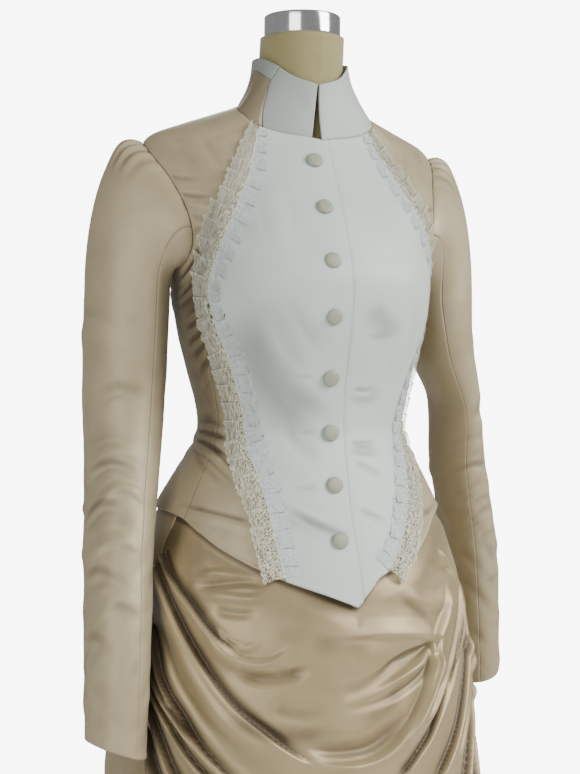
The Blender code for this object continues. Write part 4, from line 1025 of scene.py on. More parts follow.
def plastron_relief(height, turn):
    """Soft sweeps of the plastron."""
    relief = 1.7 * fold_relief(turn, height, PLASTRON_FOLDS, BODICE_GIRTH)
    across = np.radians(turn) * BODICE_GIRTH
    uneven = 0.0004 * soft_noise(across / 0.036, height / 0.030, 7)
    hem_fade, neck_fade = edge_fades(height, turn)
    return (relief + uneven) * hem_fade * neck_fade


def basque_foot(turn):
    """Lower edge of the basque, cut away higher on the left front than on the right."""
    left, right = height_by_turn(BASQUE_LEFT_HEM, turn), height_by_turn(BASQUE_HEM, turn)
    return np.where(signed_turn(turn) > 0, left, right)


def neck_head(turn):
    return height_by_turn(NECK_SEAM, turn) - NECK_SEAM_HALF


def front_edge(side):
    """Turn of the seam between plastron and satin front, on the right (-1) or left (1)."""
    column = "right" if side < 0 else "left"

    def edge(height):
        return turn_at(height, side * read_table(PLASTRON_EDGE, height, column))

    return edge


def front_outer_turn(height):
    """Where the satin front ends: side seam, then armhole, then shoulder seam."""
    above = SHOULDER_TURN - armhole_reach(height)
    return np.where(height <= UNDERARM_CORNER, SIDE_SEAM_TURN, above)


def back_outer_turn(height):
    """Where the satin back starts: side seam, then armhole, then shoulder seam."""
    above = SHOULDER_TURN + armhole_reach(height)
    return np.where(height <= UNDERARM_CORNER, BACK_SEAM_TURN, above)


def underarm_head(turn):
    """Top edge of the side piece: the lower part of the armhole."""
    away = np.minimum(UNDERARM_SHARE, np.abs(np.abs(turn) - SHOULDER_TURN) / ARMHOLE_HALF_TURN)
    return ARMHOLE_MIDDLE - ARMHOLE_HALF_HEIGHT * np.sqrt(1 - away * away)


def build_bodice():
    """Satin fronts, side pieces and backs."""
    cuts = {
        "front": Cut(0.20, 0.62, 0.32, "stretched"),
        "side": Cut(0.135, 0.345, 0.62, "stretched"),
        "back": Cut(0.215, 0.56, 0.72, "stretched"),
    }
    for side, word in ((-1, "right"), (1, "left")):
        edge = front_edge(side)
        pieces = (
            ("front", BODICE_HEAD, 380, 84, neck_head, 0.085,
             lambda height: seam_turn(height, edge(height), side),
             lambda height: side * seam_turn(height, front_outer_turn(height), -1)),
            ("side", UNDERARM_CORNER, 220, 50, underarm_head, 0.03,
             lambda height: side * seam_turn(height, SIDE_SEAM_TURN, 1),
             lambda height: side * seam_turn(height, BACK_SEAM_TURN, -1)),
            ("back", BODICE_HEAD, 240, 64, neck_head, 0.085,
             lambda height: side * seam_turn(height, back_outer_turn(height), 1),
             lambda height: side * seam_turn(height, 180, -1)),
        )
        for piece, top, rows, columns, head, fade, near, far in pieces:
            start, end = (near, far) if side > 0 else (far, near)
            height, turn = panel_grid(
                BODICE_FOOT, top, rows, columns, start, end, basque_foot, head, fade
            )
            relief = bodice_relief(height, turn)
            lift = bodice_lift(height) + relief + hem_roll(height, turn) + seam_dip(turn, 0.10)
            name = "bodice_" + piece + "_" + word
            # Painted shade in the hollows of the creases, along the seams and on the sides under
            # the arms
            shade = np.clip(1.1 * hollow_shade(relief, 0.0018, 7), 0, 0.8)
            shade = np.maximum(shade, 0.45 * seam_shade(turn, 0.10))
            shade = np.clip(shade + UNDER_ARM_SHADE * under_arm(height, turn), 0, 0.85)
            points = surface_point(height, turn, lift)
            thing = sheet_object(name + "_cloth", points, CLOTH, CHAMPAGNE, shade)
            dress(thing, name, cuts[piece])


def placket_turn(height, column, extra=0.0):
    """Turn of the placket's edge or its line of buttons at a height."""
    return turn_at(height, read_table(PLACKET, height, column) + extra)


def placket_lift(height, turn):
    """The right front rises over the left front's edge."""
    start = front_edge(-1)(height)
    share = (turn - start) / (placket_turn(height, "edge") - start)
    return bodice_lift(height) + PLACKET_LIFT * smooth(share / 0.62)


def build_plastron():
    """White plastron: the right front laps over the left one."""
    halves = (
        ("right", 74, Cut(0.20, 0.56, 0.60, "stretched"),
         lambda height: seam_turn(height, front_edge(-1)(height), 1),
         lambda height: placket_turn(height, "edge")),
        ("left", 66, Cut(0.19, 0.60, 0.60, "stretched"),
         lambda height: placket_turn(height, "edge", -PLACKET_UNDERLAP),
         lambda height: seam_turn(height, front_edge(1)(height), -1)),
    )
    for word, columns, cut, start, end in halves:
        height, turn = panel_grid(
            BODICE_FOOT, BODICE_HEAD, 260, columns, start, end, basque_foot, neck_head
        )
        relief = plastron_relief(height, turn)
        # Painted shade in the hollows and where the plastron turns from the light
        shade = 0.5 * hollow_shade(relief, 0.003, 8)
        shade = shade + fold_relief(turn, height, PLASTRON_SHADOWS, BODICE_GIRTH)
        if word == "right":
            lift = placket_lift(height, turn) + relief + 0.6 * hem_roll(height, turn)
            # Painted shade along the right front's seams
            shade = np.maximum(shade, 0.20 * seam_shade(turn, 0.10))
        else:
            past_edge = turn - placket_turn(height, "edge")
            pressed = UNDERLAP_PRESSED * (1 - smooth(past_edge / 4.0))
            lift = bodice_lift(height) + relief + 0.6 * hem_roll(height, turn) - pressed
            # A painted shadow on the left front beside the right front's lapped edge
            shade = np.maximum(shade, 0.14 * bell(past_edge, 1.2))
        node = "plastron_" + word
        points = surface_point(height, turn, lift)
        thing = sheet_object(node + "_cloth", points, THIN_CLOTH, WHITE, shade)
        dress(thing, node, cut)


# Collar


def collar_point(share, turn):
    """Points of the stand collar: share 0 on the neck seam, 1 on its top edge."""
    foot = surface_point(height_by_turn(NECK_SEAM, turn) + NECK_SEAM_HALF, turn)
    radians = np.radians(turn)
    middle = NECK_MIDDLE * 0.8
    front = COLLAR_TOP_FRONT + middle
    back = COLLAR_TOP_BACK - middle
    depth = np.where(np.cos(radians) >= 0, front, back)
    head = np.stack((
        COLLAR_TOP_HALF_WIDTH * np.sin(radians),
        middle - depth * np.cos(radians),
        height_by_turn(COLLAR_TOP, turn),
    ), -1)
    point = foot * (1 - share)[..., None] + head * share[..., None]
    outward = point - np.array((0.0, middle, 0.0))
    outward[..., 2] = 0.0
    ripple = 0.0006 * soft_noise(turn / 9.0, share * 3.0, 21) * np.sin(np.pi * share)
    bend = 0.0035 * np.sin(np.pi * share)
    return point - unit(outward) * (bend + ripple)[..., None]


def collar_piece(node, start_turn, end_turn, columns, shares, material, slot, cut):
    """One collar piece. Its side edges may depend on the share up the collar."""
    share = np.array(shares)[:, None] * np.ones((1, columns))
    part = np.linspace(0.0, 1.0, columns)[None, :] * np.ones((len(shares), 1))
    turn = start_turn(share) * (1 - part) + end_turn(share) * part
    # Painted shade: the collar lies in shade, more on the garment's right side, away from the key
    # lamp
    shade = COLLAR_SHADE[slot] - 0.28 * np.sin(np.radians(turn)) + 0 * share
    thing = sheet_object(node + "_cloth", collar_point(share, turn), COLLAR_WALL, material, shade)
    return dress(thing, node, cut)


def slit_turn(side):
    """Edge of the narrow slit at the throat: wider at its foot."""
    def edge(share):
        half = SLIT_FOOT_HALF + (SLIT_TOP_HALF - SLIT_FOOT_HALF) * share
        across = SLIT_FOOT_SHIFT * (1 - share) + side * half
        radius = SLIT_FOOT_RADIUS + (SLIT_TOP_RADIUS - SLIT_FOOT_RADIUS) * share
        return np.degrees(across / radius)
    return edge


def collar_seam(share, side):
    """Turn of the seam between a white front and the satin back, which leans on the right."""
    if side > 0:
        return COLLAR_SEAM_LEFT + 0 * share
    part = np.clip(share / COLLAR_BAND_SHARE, 0, 1)
    return -COLLAR_FOOT_TURN - (COLLAR_SATIN_TURN - COLLAR_FOOT_TURN) * part


def build_collar():
    """Stand collar: white fronts and band, satin round the sides and back."""
    gap = COLLAR_GAP_TURN
    whole = np.linspace(0.0, 1.0, 26)
    below = np.linspace(0.0, COLLAR_BAND_SHARE, 18)
    above = np.linspace(COLLAR_BAND_SHARE + 0.007, 1.0, 10)
    front_cut = Cut(0.100, 0.070, 0.78, "stretched")

    def behind_left(share):
        return collar_seam(share, 1) + gap

    def behind_right(share):
        return 360 + collar_seam(share, -1) - gap

    def before_right(share):
        return collar_seam(share, -1) + gap

    def before_left(share):
        return collar_seam(share, 1) - gap

    fronts = (("right", before_right, slit_turn(-1)), ("left", slit_turn(1), before_left))
    for word, start, end in fronts:
        collar_piece("collar_front_" + word, start, end, 50, whole, WHITE, "white", front_cut)
    collar_piece("collar_back", behind_left, behind_right, 110, below, CHAMPAGNE, "champagne",
                 Cut(0.26, 0.046, 0.85, "stretched"))
    collar_piece("collar_band", behind_left, behind_right, 110, above, WHITE, "white",
                 Cut(0.245, 0.016, 0.90, "stretched"))


# Lace

LACE_ROWS = 560
LACE_ACROSS = 13
LACE_SCALLOPS = 3


def lace_path(side):
    """Places along a gathering line, from the basque's hem up to the collar."""
    edge = front_edge(side)
    low = float(basque_foot(edge(np.array(0.89)))) + 0.003
    top = float(neck_head(edge(np.array(1.40))))
    for _ in range(8):
        top = 0.5 * top + 0.5 * (float(neck_head(edge(np.array(top)))) - LACE_NECK_CLEARANCE)
    height = np.linspace(low, top, LACE_STEPS + 1)
    return height, edge(height)


def lace_ruffle(side, width, inner):
    """Points of one ruffle, from its gathering line to its free edge, pleated into flat blocks."""
    heights, turns = lace_path(side)
    number = np.linspace(0, LACE_STEPS, LACE_ROWS)
    steps = np.arange(LACE_STEPS + 1)

    def at(where):
        return np.interp(where, steps, heights), np.interp(where, steps, turns)

    height, turn = at(number)
    height_before, turn_before = at(number - 2)
    height_after, turn_after = at(number + 2)
    by_height, by_turn = surface_rates(height, turn)
    long_height = np.linalg.norm(by_height, axis=-1)
    long_turn = np.linalg.norm(by_turn, axis=-1)
    run_turn = (turn_after - turn_before) * long_turn
    run_height = (height_after - height_before) * long_height
    run = np.hypot(run_turn, run_height)
    taper = 1 - LACE_NECK_TAPER * smooth((number / LACE_STEPS - 0.90) / 0.08)
    wander = 0.10 * soft_noise(number / 7.0, number * 0.0, 31 + side + 5 * inner)
    place = number / 3 + wander + 0.45 * inner
    block = np.floor(place).astype(int)
    part = place - block
    uneven = np.random.default_rng(90 + side + inner).uniform(-1, 1, (2, 40))[:, block % 40]
    pleat = (0.15 + 0.85 * part ** 1.1) * (1 - smooth((part - 0.93) / 0.07))
    share = np.linspace(0.0, 1.0, LACE_ACROSS)[None, :]
    scallop = 0.0024 * (1 - np.abs(np.sin(np.pi * LACE_SCALLOPS * part)) ** 0.7)
    length = width * taper * (1 + 0.06 * uneven[0] + 0.07 * (part - 0.5))
    reach = length[:, None] * share - np.sign(width) * scallop[:, None] * share ** 3
    slant = (0.0020 * uneven[1] + 0.0050 * (part - 0.5))[:, None] * share ** 1.2
    if not inner:
        near_top = smooth((number / LACE_STEPS - 0.93) / 0.07)[:, None]
        slant = slant + LACE_TOP_SLANT * near_top * share
    height = height[:, None] + (-run_turn / run / long_height)[:, None] * reach + slant
    turn = turn[:, None] + (run_height / run / long_turn)[:, None] * reach
    base = LACE_BASE_LIFT - LACE_CHEST_DROP * smooth((height - 1.10) / 0.05)
    gather = 0.00025 * np.sin(2 * np.pi * (3 * part[:, None] + 0.5 * share)) * (1 - 0.5 * share)
    ripple = 0.00025 * soft_noise(number[:, None] * 0.8, share * 2.0 + 0 * height, 41)
    full = share ** 0.7
    lifted = LACE_WAVE_LIFT * pleat[:, None] * full
    if inner:
        lifted = 0.0008 * full * np.sin(2 * np.pi * part[:, None]) - 0.0012 * share
    stand_off = base + lifted + gather + ripple - 0.0010 * (1 - full)
    under = plastron_relief(height, turn) if inner else bodice_relief(height, turn)
    points = surface_point(height, turn, bodice_lift(height) + 0.6 * under + stand_off)
    corded = np.maximum(smooth((share - 0.90) / 0.06), 1 - smooth((share - 0.02) / 0.05))
    # Along each pleat's fold the cord stands partly for the doubled lace and partly for a painted
    # highlight
    fold_line = bell(part[:, None] - 0.90, 0.07) * smooth((share - 0.1) / 0.2)
    corded = np.maximum(corded, (0.2 if inner else 0.9) * fold_line)
    return points, corded * np.ones_like(height)


def build_lace():
    """Gathered lace over each plastron seam: a ruffle to both sides of its gathering line."""
    for side, word in ((-1, "right"), (1, "left")):
        rests = ("bodice_front_" + word + "_cloth", "plastron_" + word + "_cloth")
        ruffles = (("outer", side * LACE_OUTER_WIDTH, 0), ("inner", -side * LACE_INNER_WIDTH, 1))
        for part, width, inner in ruffles:
            points, corded = lace_ruffle(side, width, inner)
            if width < 0:
                points, corded = points[:, ::-1], corded[:, ::-1]
            name = "lace_" + word + "_" + part + "_ruffle"
            cloth = NET_BAND if inner else NET_LACE
            thing = sheet_object(name, points, 0.0, cloth, corded)
            wide = LACE_INNER_WIDTH if inner else LACE_OUTER_WIDTH
            dress(thing, "lace_" + word, Cut(wide, 0.74, 1.0, "gathered", rests))


# Sleeves

# Creases across a sleeve, as paths of (angle, down) where down is metres below the head ring
SLEEVE_FOLDS = {
    -1: (
        Fold(((-40, 0.060), (10, 0.048), (60, 0.066)), 0.0020, 0.016, 0.020, 0.4, 0.4),
        Fold(((20, 0.140), (60, 0.120), (110, 0.128)), -0.0022, 0.014, 0.018, 0.4, 0.4),
        Fold(((10, 0.212), (50, 0.196), (110, 0.205)), 0.0026, 0.008, 0.014, 0.4, 0.4),
        Fold(((0, 0.232), (50, 0.214), (100, 0.222)), -0.0024, 0.007, 0.008, 0.4, 0.4),
        Fold(((20, 0.262), (70, 0.240), (120, 0.252)), 0.0030, 0.007, 0.012, 0.4, 0.4),
        Fold(((-20, 0.286), (40, 0.262), (90, 0.268)), -0.0024, 0.007, 0.008, 0.4, 0.4),
        Fold(((10, 0.310), (60, 0.292), (120, 0.300)), 0.0026, 0.008, 0.012, 0.4, 0.4),
        Fold(((-10, 0.340), (40, 0.330), (90, 0.338)), -0.0020, 0.008, 0.010, 0.4, 0.4),
        Fold(((20, 0.372), (70, 0.352), (120, 0.362)), 0.0022, 0.009, 0.014, 0.4, 0.4),
        Fold(((-20, 0.404), (30, 0.398), (80, 0.410)), -0.0014, 0.010, 0.012, 0.4, 0.4),
        Fold(((-60, 0.250), (-20, 0.246), (10, 0.258)), 0.0018, 0.008, 0.010, 0.4, 0.4),
        Fold(((-70, 0.300), (-40, 0.292), (0, 0.302)), 0.0016, 0.008, 0.010, 0.4, 0.4),
        Fold(((190, 0.200), (240, 0.222), (290, 0.214)), 0.0026, 0.010, 0.012, 0.4, 0.4),
        Fold(((190, 0.250), (240, 0.262), (290, 0.250)), -0.0022, 0.008, 0.008, 0.4, 0.4),
        Fold(((180, 0.300), (230, 0.288), (280, 0.306)), 0.0022, 0.010, 0.010, 0.4, 0.4),
    ),
    1: (
        Fold(((-40, 0.070), (10, 0.056), (60, 0.070)), 0.0020, 0.016, 0.020, 0.4, 0.4),
        Fold(((20, 0.150), (60, 0.134), (120, 0.138)), -0.0024, 0.014, 0.018, 0.4, 0.4),
        Fold(((40, 0.190), (90, 0.176), (140, 0.186)), 0.0026, 0.009, 0.014, 0.4, 0.4),
        Fold(((30, 0.216), (90, 0.200), (150, 0.206)), -0.0022, 0.008, 0.008, 0.4, 0.4),
        Fold(((40, 0.250), (90, 0.236), (150, 0.250)), 0.0026, 0.009, 0.012, 0.4, 0.4),
        Fold(((20, 0.300), (80, 0.284), (140, 0.296)), 0.0022, 0.010, 0.012, 0.4, 0.4),
        Fold(((30, 0.276), (80, 0.262), (130, 0.270)), -0.0020, 0.008, 0.008, 0.4, 0.4),
        Fold(((20, 0.360), (80, 0.344), (140, 0.352)), 0.0018, 0.012, 0.014, 0.4, 0.4),
        Fold(((-60, 0.230), (-20, 0.226), (20, 0.240)), 0.0020, 0.008, 0.010, 0.4, 0.4),
        Fold(((190, 0.206), (240, 0.226), (290, 0.216)), 0.0024, 0.010, 0.012, 0.4, 0.4),
        Fold(((180, 0.290), (230, 0.280), (280, 0.296)), 0.0020, 0.010, 0.010, 0.4, 0.4),
    ),
}
SLEEVE_GIRTH = 0.046


def armhole_point(side, angle, shrink, lift):
    """Points of the armhole: angle 0 at the shoulder, 90 in front, 180 under the arm."""
    radians = np.radians(angle)
    height = ARMHOLE_MIDDLE + (ARMHOLE_HALF_HEIGHT - shrink) * np.cos(radians)
    half_turn = ARMHOLE_HALF_TURN - np.degrees(shrink / 0.16)
    turn = SHOULDER_TURN - half_turn * np.sin(radians)
    return surface_point(height, side * turn, lift + 0 * turn)


def ring_point(table, side, height, angle, swell):
    """Points of a hanging sleeve's rings: angle 0 outermost, 90 in front, 180 innermost."""
    step = 0.01

    def middle(at):
        return np.stack((read_table(table, at, "out"), read_table(table, at, "back"), at), -1)

    above, below = middle(height + step), middle(height - step)
    above[..., 2] = step
    below[..., 2] = -step
    axis = unit(above - below)
    outward = np.array((1.0, 0.0, 0.0)) - axis * axis[..., :1]
    outward = unit(outward)
    forward = np.cross(outward, axis)
    forward = np.where(forward[..., 1:2] > 0, -forward, forward)
    radians = np.radians(angle)
    wide = (read_table(table, height, "half_width") + swell) * np.cos(radians)
    deep = (read_table(table, height, "half_depth") + swell) * np.sin(radians)
    point = middle(height) + outward * wide[..., None] + forward * deep[..., None]
    point[..., 0] *= side
    return point


def sleeve_swell(side, share, angle):
    """Creases across the sleeve and a slight unevenness."""
    down_share = (share - SLEEVE_HEAD_PART) / (1 - SLEEVE_HEAD_PART)
    table = SLEEVES[side]
    down = down_share * (table[-1].height - table[0].height)
    signed = np.where(angle > 170, angle - 360, angle)
    folds = SLEEVE_FOLDS[side]
    swell = fold_relief(signed, down, folds, SLEEVE_GIRTH)
    swell += fold_relief(signed + 360, down, folds, SLEEVE_GIRTH)
    around = np.radians(angle) * SLEEVE_GIRTH
    swell += 0.0007 * soft_noise(around / 0.030, down / 0.030, 11 + side)
    swell += 0.00015 * soft_noise(around / 0.012, down / 0.012, 14 + side)
    slanting = soft_noise((around + down) / 0.020, (down - around) / 0.042, 17 + side)
    swell += 0.0011 * slanting * smooth((down_share - 0.35) / 0.2)
    fade = smooth(down_share / 0.10) * smooth((1 - down_share) / 0.05)
    from_cuff = (1 - down_share) * (table[-1].height - table[0].height)
    return swell * fade + 0.0007 * bell(from_cuff - 0.0025, 0.0030)


def cap_gather(share, angle):
    """Small gathers where the sleeve's head is drawn into the armhole."""
    part = np.clip(share / SLEEVE_HEAD_PART, 0, 1)
    signed = signed_turn(angle)
    wander = 1.2 * soft_noise(signed / 18.0, part * 2, 51)
    ripple = np.cos(np.radians(signed) * CAP_GATHERS + wander)
    return CAP_GATHER_DEPTH * ripple * bell(signed - 8, 66) * bell(part - 0.15, 0.30)


def sleeve_point(side, share, angle):
    """Points of the sleeve: share 0 at the armhole, 1 at the cuff."""
    table = SLEEVES[side]
    ring_top, ring_foot = table[-1].height, table[0].height
    part = np.clip(share / SLEEVE_HEAD_PART, 0, 1)
    start = armhole_point(side, angle, 0.00015, -0.0002)
    end = ring_point(table, side, ring_top + 0 * angle, angle, 0.0)
    up_share = 0.5 + 0.5 * np.cos(np.radians(angle))
    zero = np.zeros_like(up_share)
    leave = np.stack((side * (0.014 + 0.032 * up_share), zero, 0.018 * up_share - 0.004), -1)
    arrive = np.stack((zero, zero, 0.012 + 0.076 * up_share), -1)
    rest = 1 - part
    weights = (rest ** 3, 3 * rest * rest * part, 3 * rest * part * part, part ** 3)
    corners = (start, start + leave, end + arrive, end)
    head = sum(weight[..., None] * corner for weight, corner in zip(weights, corners))
    gather = cap_gather(share, angle)
    head[..., 2] += gather
    head[..., 0] += side * gather * 0.8
    down = (share - SLEEVE_HEAD_PART) / (1 - SLEEVE_HEAD_PART)
    height = ring_top + (ring_foot - ring_top) * np.clip(down, 0, None)
    tube = ring_point(table, side, height, angle, sleeve_swell(side, share, angle))
    return np.where((share <= SLEEVE_HEAD_PART)[..., None], head, tube)


def back_seam_angle(share):
    """The back seam runs from behind the armhole to the outer side of the cuff."""
    return BACK_SEAM_ANGLE_TOP + (BACK_SEAM_ANGLE_CUFF - BACK_SEAM_ANGLE_TOP) * smooth(share)


def cuff_share(angle):
    """The cuff's lower edge is cut slightly longer at the outside."""
    return 0.985 + 0.0155 * np.cos(np.radians(angle - 155))


def sleeve_place(side):
    """Point function of one sleeve, by share down and angle round."""
    def place(share, angle):
        share, angle = np.broadcast_arrays(np.asarray(share, float), np.asarray(angle, float))
        return sleeve_point(side, share * cuff_share(angle), angle)
    return place


def build_sleeves():
    """Upper and under sleeve of each arm, as hanging tubes open at both ends."""
    head = np.linspace(0.0, SLEEVE_HEAD_PART, 60)[:-1]
    shares = np.concatenate((head, np.linspace(SLEEVE_HEAD_PART, 1.0, 230)))[::-1]
    gap = SLEEVE_GAP_ANGLE
    upper_cut = Cut(0.19, 0.70, 0.72, "hung")
    under_cut = Cut(0.20, 0.62, 0.74, "hung")
    for side, word in ((-1, "right"), (1, "left")):
        place = sleeve_place(side)
        for part, columns, cut in (("upper", 84, upper_cut), ("under", 70, under_cut)):
            share = shares[:, None] * np.ones((1, columns))
            back = back_seam_angle(share)
            start, end = back + gap, FRONT_SEAM_ANGLE - gap + 0 * back
            if part == "under":
                start, end = FRONT_SEAM_ANGLE + gap + 0 * back, 360 + back - gap
            across = np.linspace(0.0, 1.0, columns)[None, :]
            angle = start * (1 - across) + end * across
            points = place(share, angle)
            relief = sleeve_swell(side, share, angle % 360) + 0.8 * cap_gather(share, angle)
            # Painted shade in the hollows of the sleeve's creases and the cap's gathers
            shade = np.clip(0.62 * hollow_shade(relief, 0.0022, 10), 0, 0.5)
            if side > 0:
                points, shade = points[:, ::-1], shade[:, ::-1]
            name = "sleeve_" + part + "_" + word
            thing = sheet_object(name + "_cloth", points, CLOTH, CHAMPAGNE, shade)
            dress(thing, name, cut)


# Buttons

BUTTON_PROFILE = (
    (0.90, 0.02), (0.985, 0.10), (1.0, 0.26), (0.985, 0.42), (0.93, 0.60), (0.84, 0.74),
    (0.70, 0.86), (0.52, 0.94), (0.30, 0.985), (0.12, 1.0),
)


def covered_button(name, centre, outward, radius, depth, seed):
    """A cloth-covered button: rolled rim, domed face, puckers where the cover is drawn in."""
    across = unit(np.cross(outward, (0.0, 0.0, 1.0)))
    upward = unit(np.cross(across, outward))
    segments = 40
    angles = 2 * np.pi * np.arange(segments) / segments
    rows = []
    for share, rise in BUTTON_PROFILE:
        pucker = 1 + 0.018 * share ** 6 * np.sin(angles * 13 + seed)
        tilt = 0.02 * np.sin(angles * 3 + seed * 1.7) * share
        ring = centre + outward * (depth * (rise + tilt))[:, None]
        reach = (radius * share * pucker)[:, None]
        ring = ring + across * (reach * np.cos(angles)[:, None])
        ring = ring + upward * (reach * np.sin(angles)[:, None])
        rows.append(ring)
    points = np.concatenate(rows + [centre[None, :] + outward * depth, centre[None, :]])
    tip, seat = len(points) - 2, len(points) - 1
    faces = []
    following = (np.arange(segments) + 1) % segments
    for ring in range(len(rows) - 1):
        low, high = ring * segments, (ring + 1) * segments
        for step in range(segments):
            faces.append((low + step, low + following[step], high + following[step], high + step))
    last = (len(rows) - 1) * segments
    for step in range(segments):
        faces.append((last + step, last + following[step], tip))
        faces.append((following[step], step, seat))
    faces = [tuple(int(corner) for corner in face) for face in faces]
    mesh = bpy.data.meshes.new(name)
    mesh.from_pydata(points.tolist(), [], faces)
    offset = points - centre
    places = np.stack((offset @ across, offset @ upward), -1)
    corners = np.array([corner for face in faces for corner in face])
    layer = mesh.uv_layers.new(name="cloth")
    layer.data.foreach_set("uv", places[corners].ravel())
    mesh.polygons.foreach_set("use_smooth", np.ones(len(faces), bool))
    mesh.update()
    mesh.materials.append(BUTTON_CLOTH)
    return link(bpy.data.objects.new(name, mesh))


def button_seat(place, row, column, radius, stand_off, steps, flip=1.0):
    """Middle and facing of a button that clears the cloth all round its rim."""
    centre = place(row, column)
    along_column = place(row + steps[0], column) - place(row - steps[0], column)
    along_row = place(row, column + steps[1]) - place(row, column - steps[1])
    outward = unit(np.cross(along_row, along_column)) * flip
    per_row = np.linalg.norm(place(row + steps[0], column) - centre) / steps[0]
    per_column = np.linalg.norm(place(row, column + steps[1]) - centre) / steps[1]
    angles = np.pi * np.arange(8) / 4
    rim_rows = row + radius * np.sin(angles) / per_row
    rims = place(rim_rows, column + radius * np.cos(angles) / per_column)
    rise = max(0.0, float(((rims - centre) @ outward).max()))
    return centre + outward * (rise + stand_off), outward


def build_buttons():
    """Eight covered buttons down the placket and two on each sleeve's back seam."""
    def placket_place(height, turn):
        height, turn = np.broadcast_arrays(np.asarray(height, float), np.asarray(turn, float))
        return surface_point(height, turn, placket_lift(height, turn))

    for number, row in enumerate(PLACKET_BUTTONS, start=1):
        turn = float(placket_turn(np.array(row.height), "buttons"))
        centre, outward = button_seat(
            placket_place, row.height, turn, BUTTON_RADIUS, row.stand_off, (0.001, 0.25)
        )
        name = "button_" + str(number)
        thing = covered_button(
            name + "_covered", centre, outward, BUTTON_RADIUS, BUTTON_DEPTH, number
        )
        dress(thing, name)
    for side, word in ((-1, "right"), (1, "left")):
        for number, share in enumerate(CUFF_BUTTON_SHARES, start=1):
            angle = float(back_seam_angle(share)) + CUFF_BUTTON_TURN
            centre, outward = button_seat(
                sleeve_place(side), share, angle, CUFF_BUTTON_RADIUS, CUFF_BUTTON_STAND_OFF,
                (0.004, 1.0), -side
            )
            name = "cuff_button_" + word + "_" + str(number)
            thing = covered_button(
                name + "_covered", centre, outward, CUFF_BUTTON_RADIUS, CUFF_BUTTON_DEPTH,
                number + 2 * side
            )
            dress(thing, name)


# Skirt

APRON_GIRTH = 0.185
APRON_DEEPEST = 0.0080
# Crisp pleats of the apron, held at the hips
APRON_LAPS = (
    Lap(((-81, 0.912), (-77, 0.900), (-73, 0.890), (-66, 0.875), (-59, 0.858), (-51, 0.834),
         (-45, 0.819), (-38, 0.808)), 0.0085, 0.030, 0.05, 0.22),
    Lap(((-81, 0.898), (-76, 0.884), (-72, 0.872), (-66, 0.850), (-58, 0.817), (-50, 0.784),
         (-42, 0.754), (-32, 0.727), (-23, 0.704), (-14, 0.686)), 0.0120, 0.045, 0.05, 0.18),
    Lap(((-81, 0.834), (-76, 0.802), (-72, 0.776), (-67, 0.755), (-62, 0.738), (-55, 0.712),
         (-46, 0.684), (-34, 0.654), (-18, 0.630)), 0.0105, 0.030, 0.05, 0.35),
    Lap(((-80, 0.800), (-75, 0.778), (-70, 0.757), (-64, 0.738), (-57, 0.717), (-51, 0.702)),
        0.0050, 0.009, 0.10, 0.30),
    Lap(((-81, 0.800), (-76, 0.768), (-71, 0.742), (-66, 0.722), (-58, 0.698), (-48, 0.668),
         (-34, 0.632), (-14, 0.600), (8, 0.592)), 0.0085, 0.026, 0.05, 0.30),
    Lap(((-81, 0.760), (-74, 0.718), (-64, 0.672), (-46, 0.612), (-22, 0.566), (4, 0.552)),
        0.0090, 0.032, 0.06, 0.30),
    Lap(((-81, 0.722), (-72, 0.672), (-58, 0.614), (-36, 0.544), (-10, 0.508), (14, 0.508)),
        0.0090, 0.032, 0.06, 0.30),
    Lap(((10, 0.664), (13, 0.675), (18, 0.690), (24, 0.708), (32, 0.742), (42, 0.780), (54, 0.826),
         (64, 0.866)), 0.0060, 0.028, 0.15, 0.25),
    Lap(((20, 0.640), (30, 0.672), (44, 0.716), (58, 0.772), (70, 0.832), (78, 0.880)),
        0.0075, 0.026, 0.20, 0.12),
    Lap(((-6, 0.575), (14, 0.582), (36, 0.622), (56, 0.684), (70, 0.752), (81, 0.826)),
        0.0085, 0.028, 0.25, 0.06),
    Lap(((-4, 0.522), (18, 0.530), (40, 0.570), (60, 0.632), (74, 0.702), (81, 0.752)),
        0.0085, 0.030, 0.25, 0.06),
)
# Painted shade where the middle of the apron lies in the shade of its own folds
APRON_SHADOWS = (
    Fold(((-30, 0.834), (-22, 0.826), (-12, 0.828)), 0.26, 0.014, 0.018, 0.5, 0.5),
    Fold(((-18, 0.814), (-10, 0.818), (-1, 0.810)), 0.28, 0.012, 0.018, 0.5, 0.5),
    Fold(((-46, 0.744), (-28, 0.722), (-6, 0.720)), 0.50, 0.016, 0.012, 0.3, 0.3),
    Fold(((-20, 0.868), (-4, 0.862), (10, 0.872)), 0.34, 0.016, 0.020, 0.4, 0.4),
    Fold(((-2, 0.728), (8, 0.744), (16, 0.768)), 0.40, 0.014, 0.012, 0.3, 0.3),
    Fold(((14, 0.862), (24, 0.842), (31, 0.818)), 0.32, 0.009, 0.010, 0.3, 0.3),
    Fold(((-66, 0.900), (-56, 0.862), (-50, 0.846)), 0.30, 0.012, 0.012, 0.3, 0.3),
)
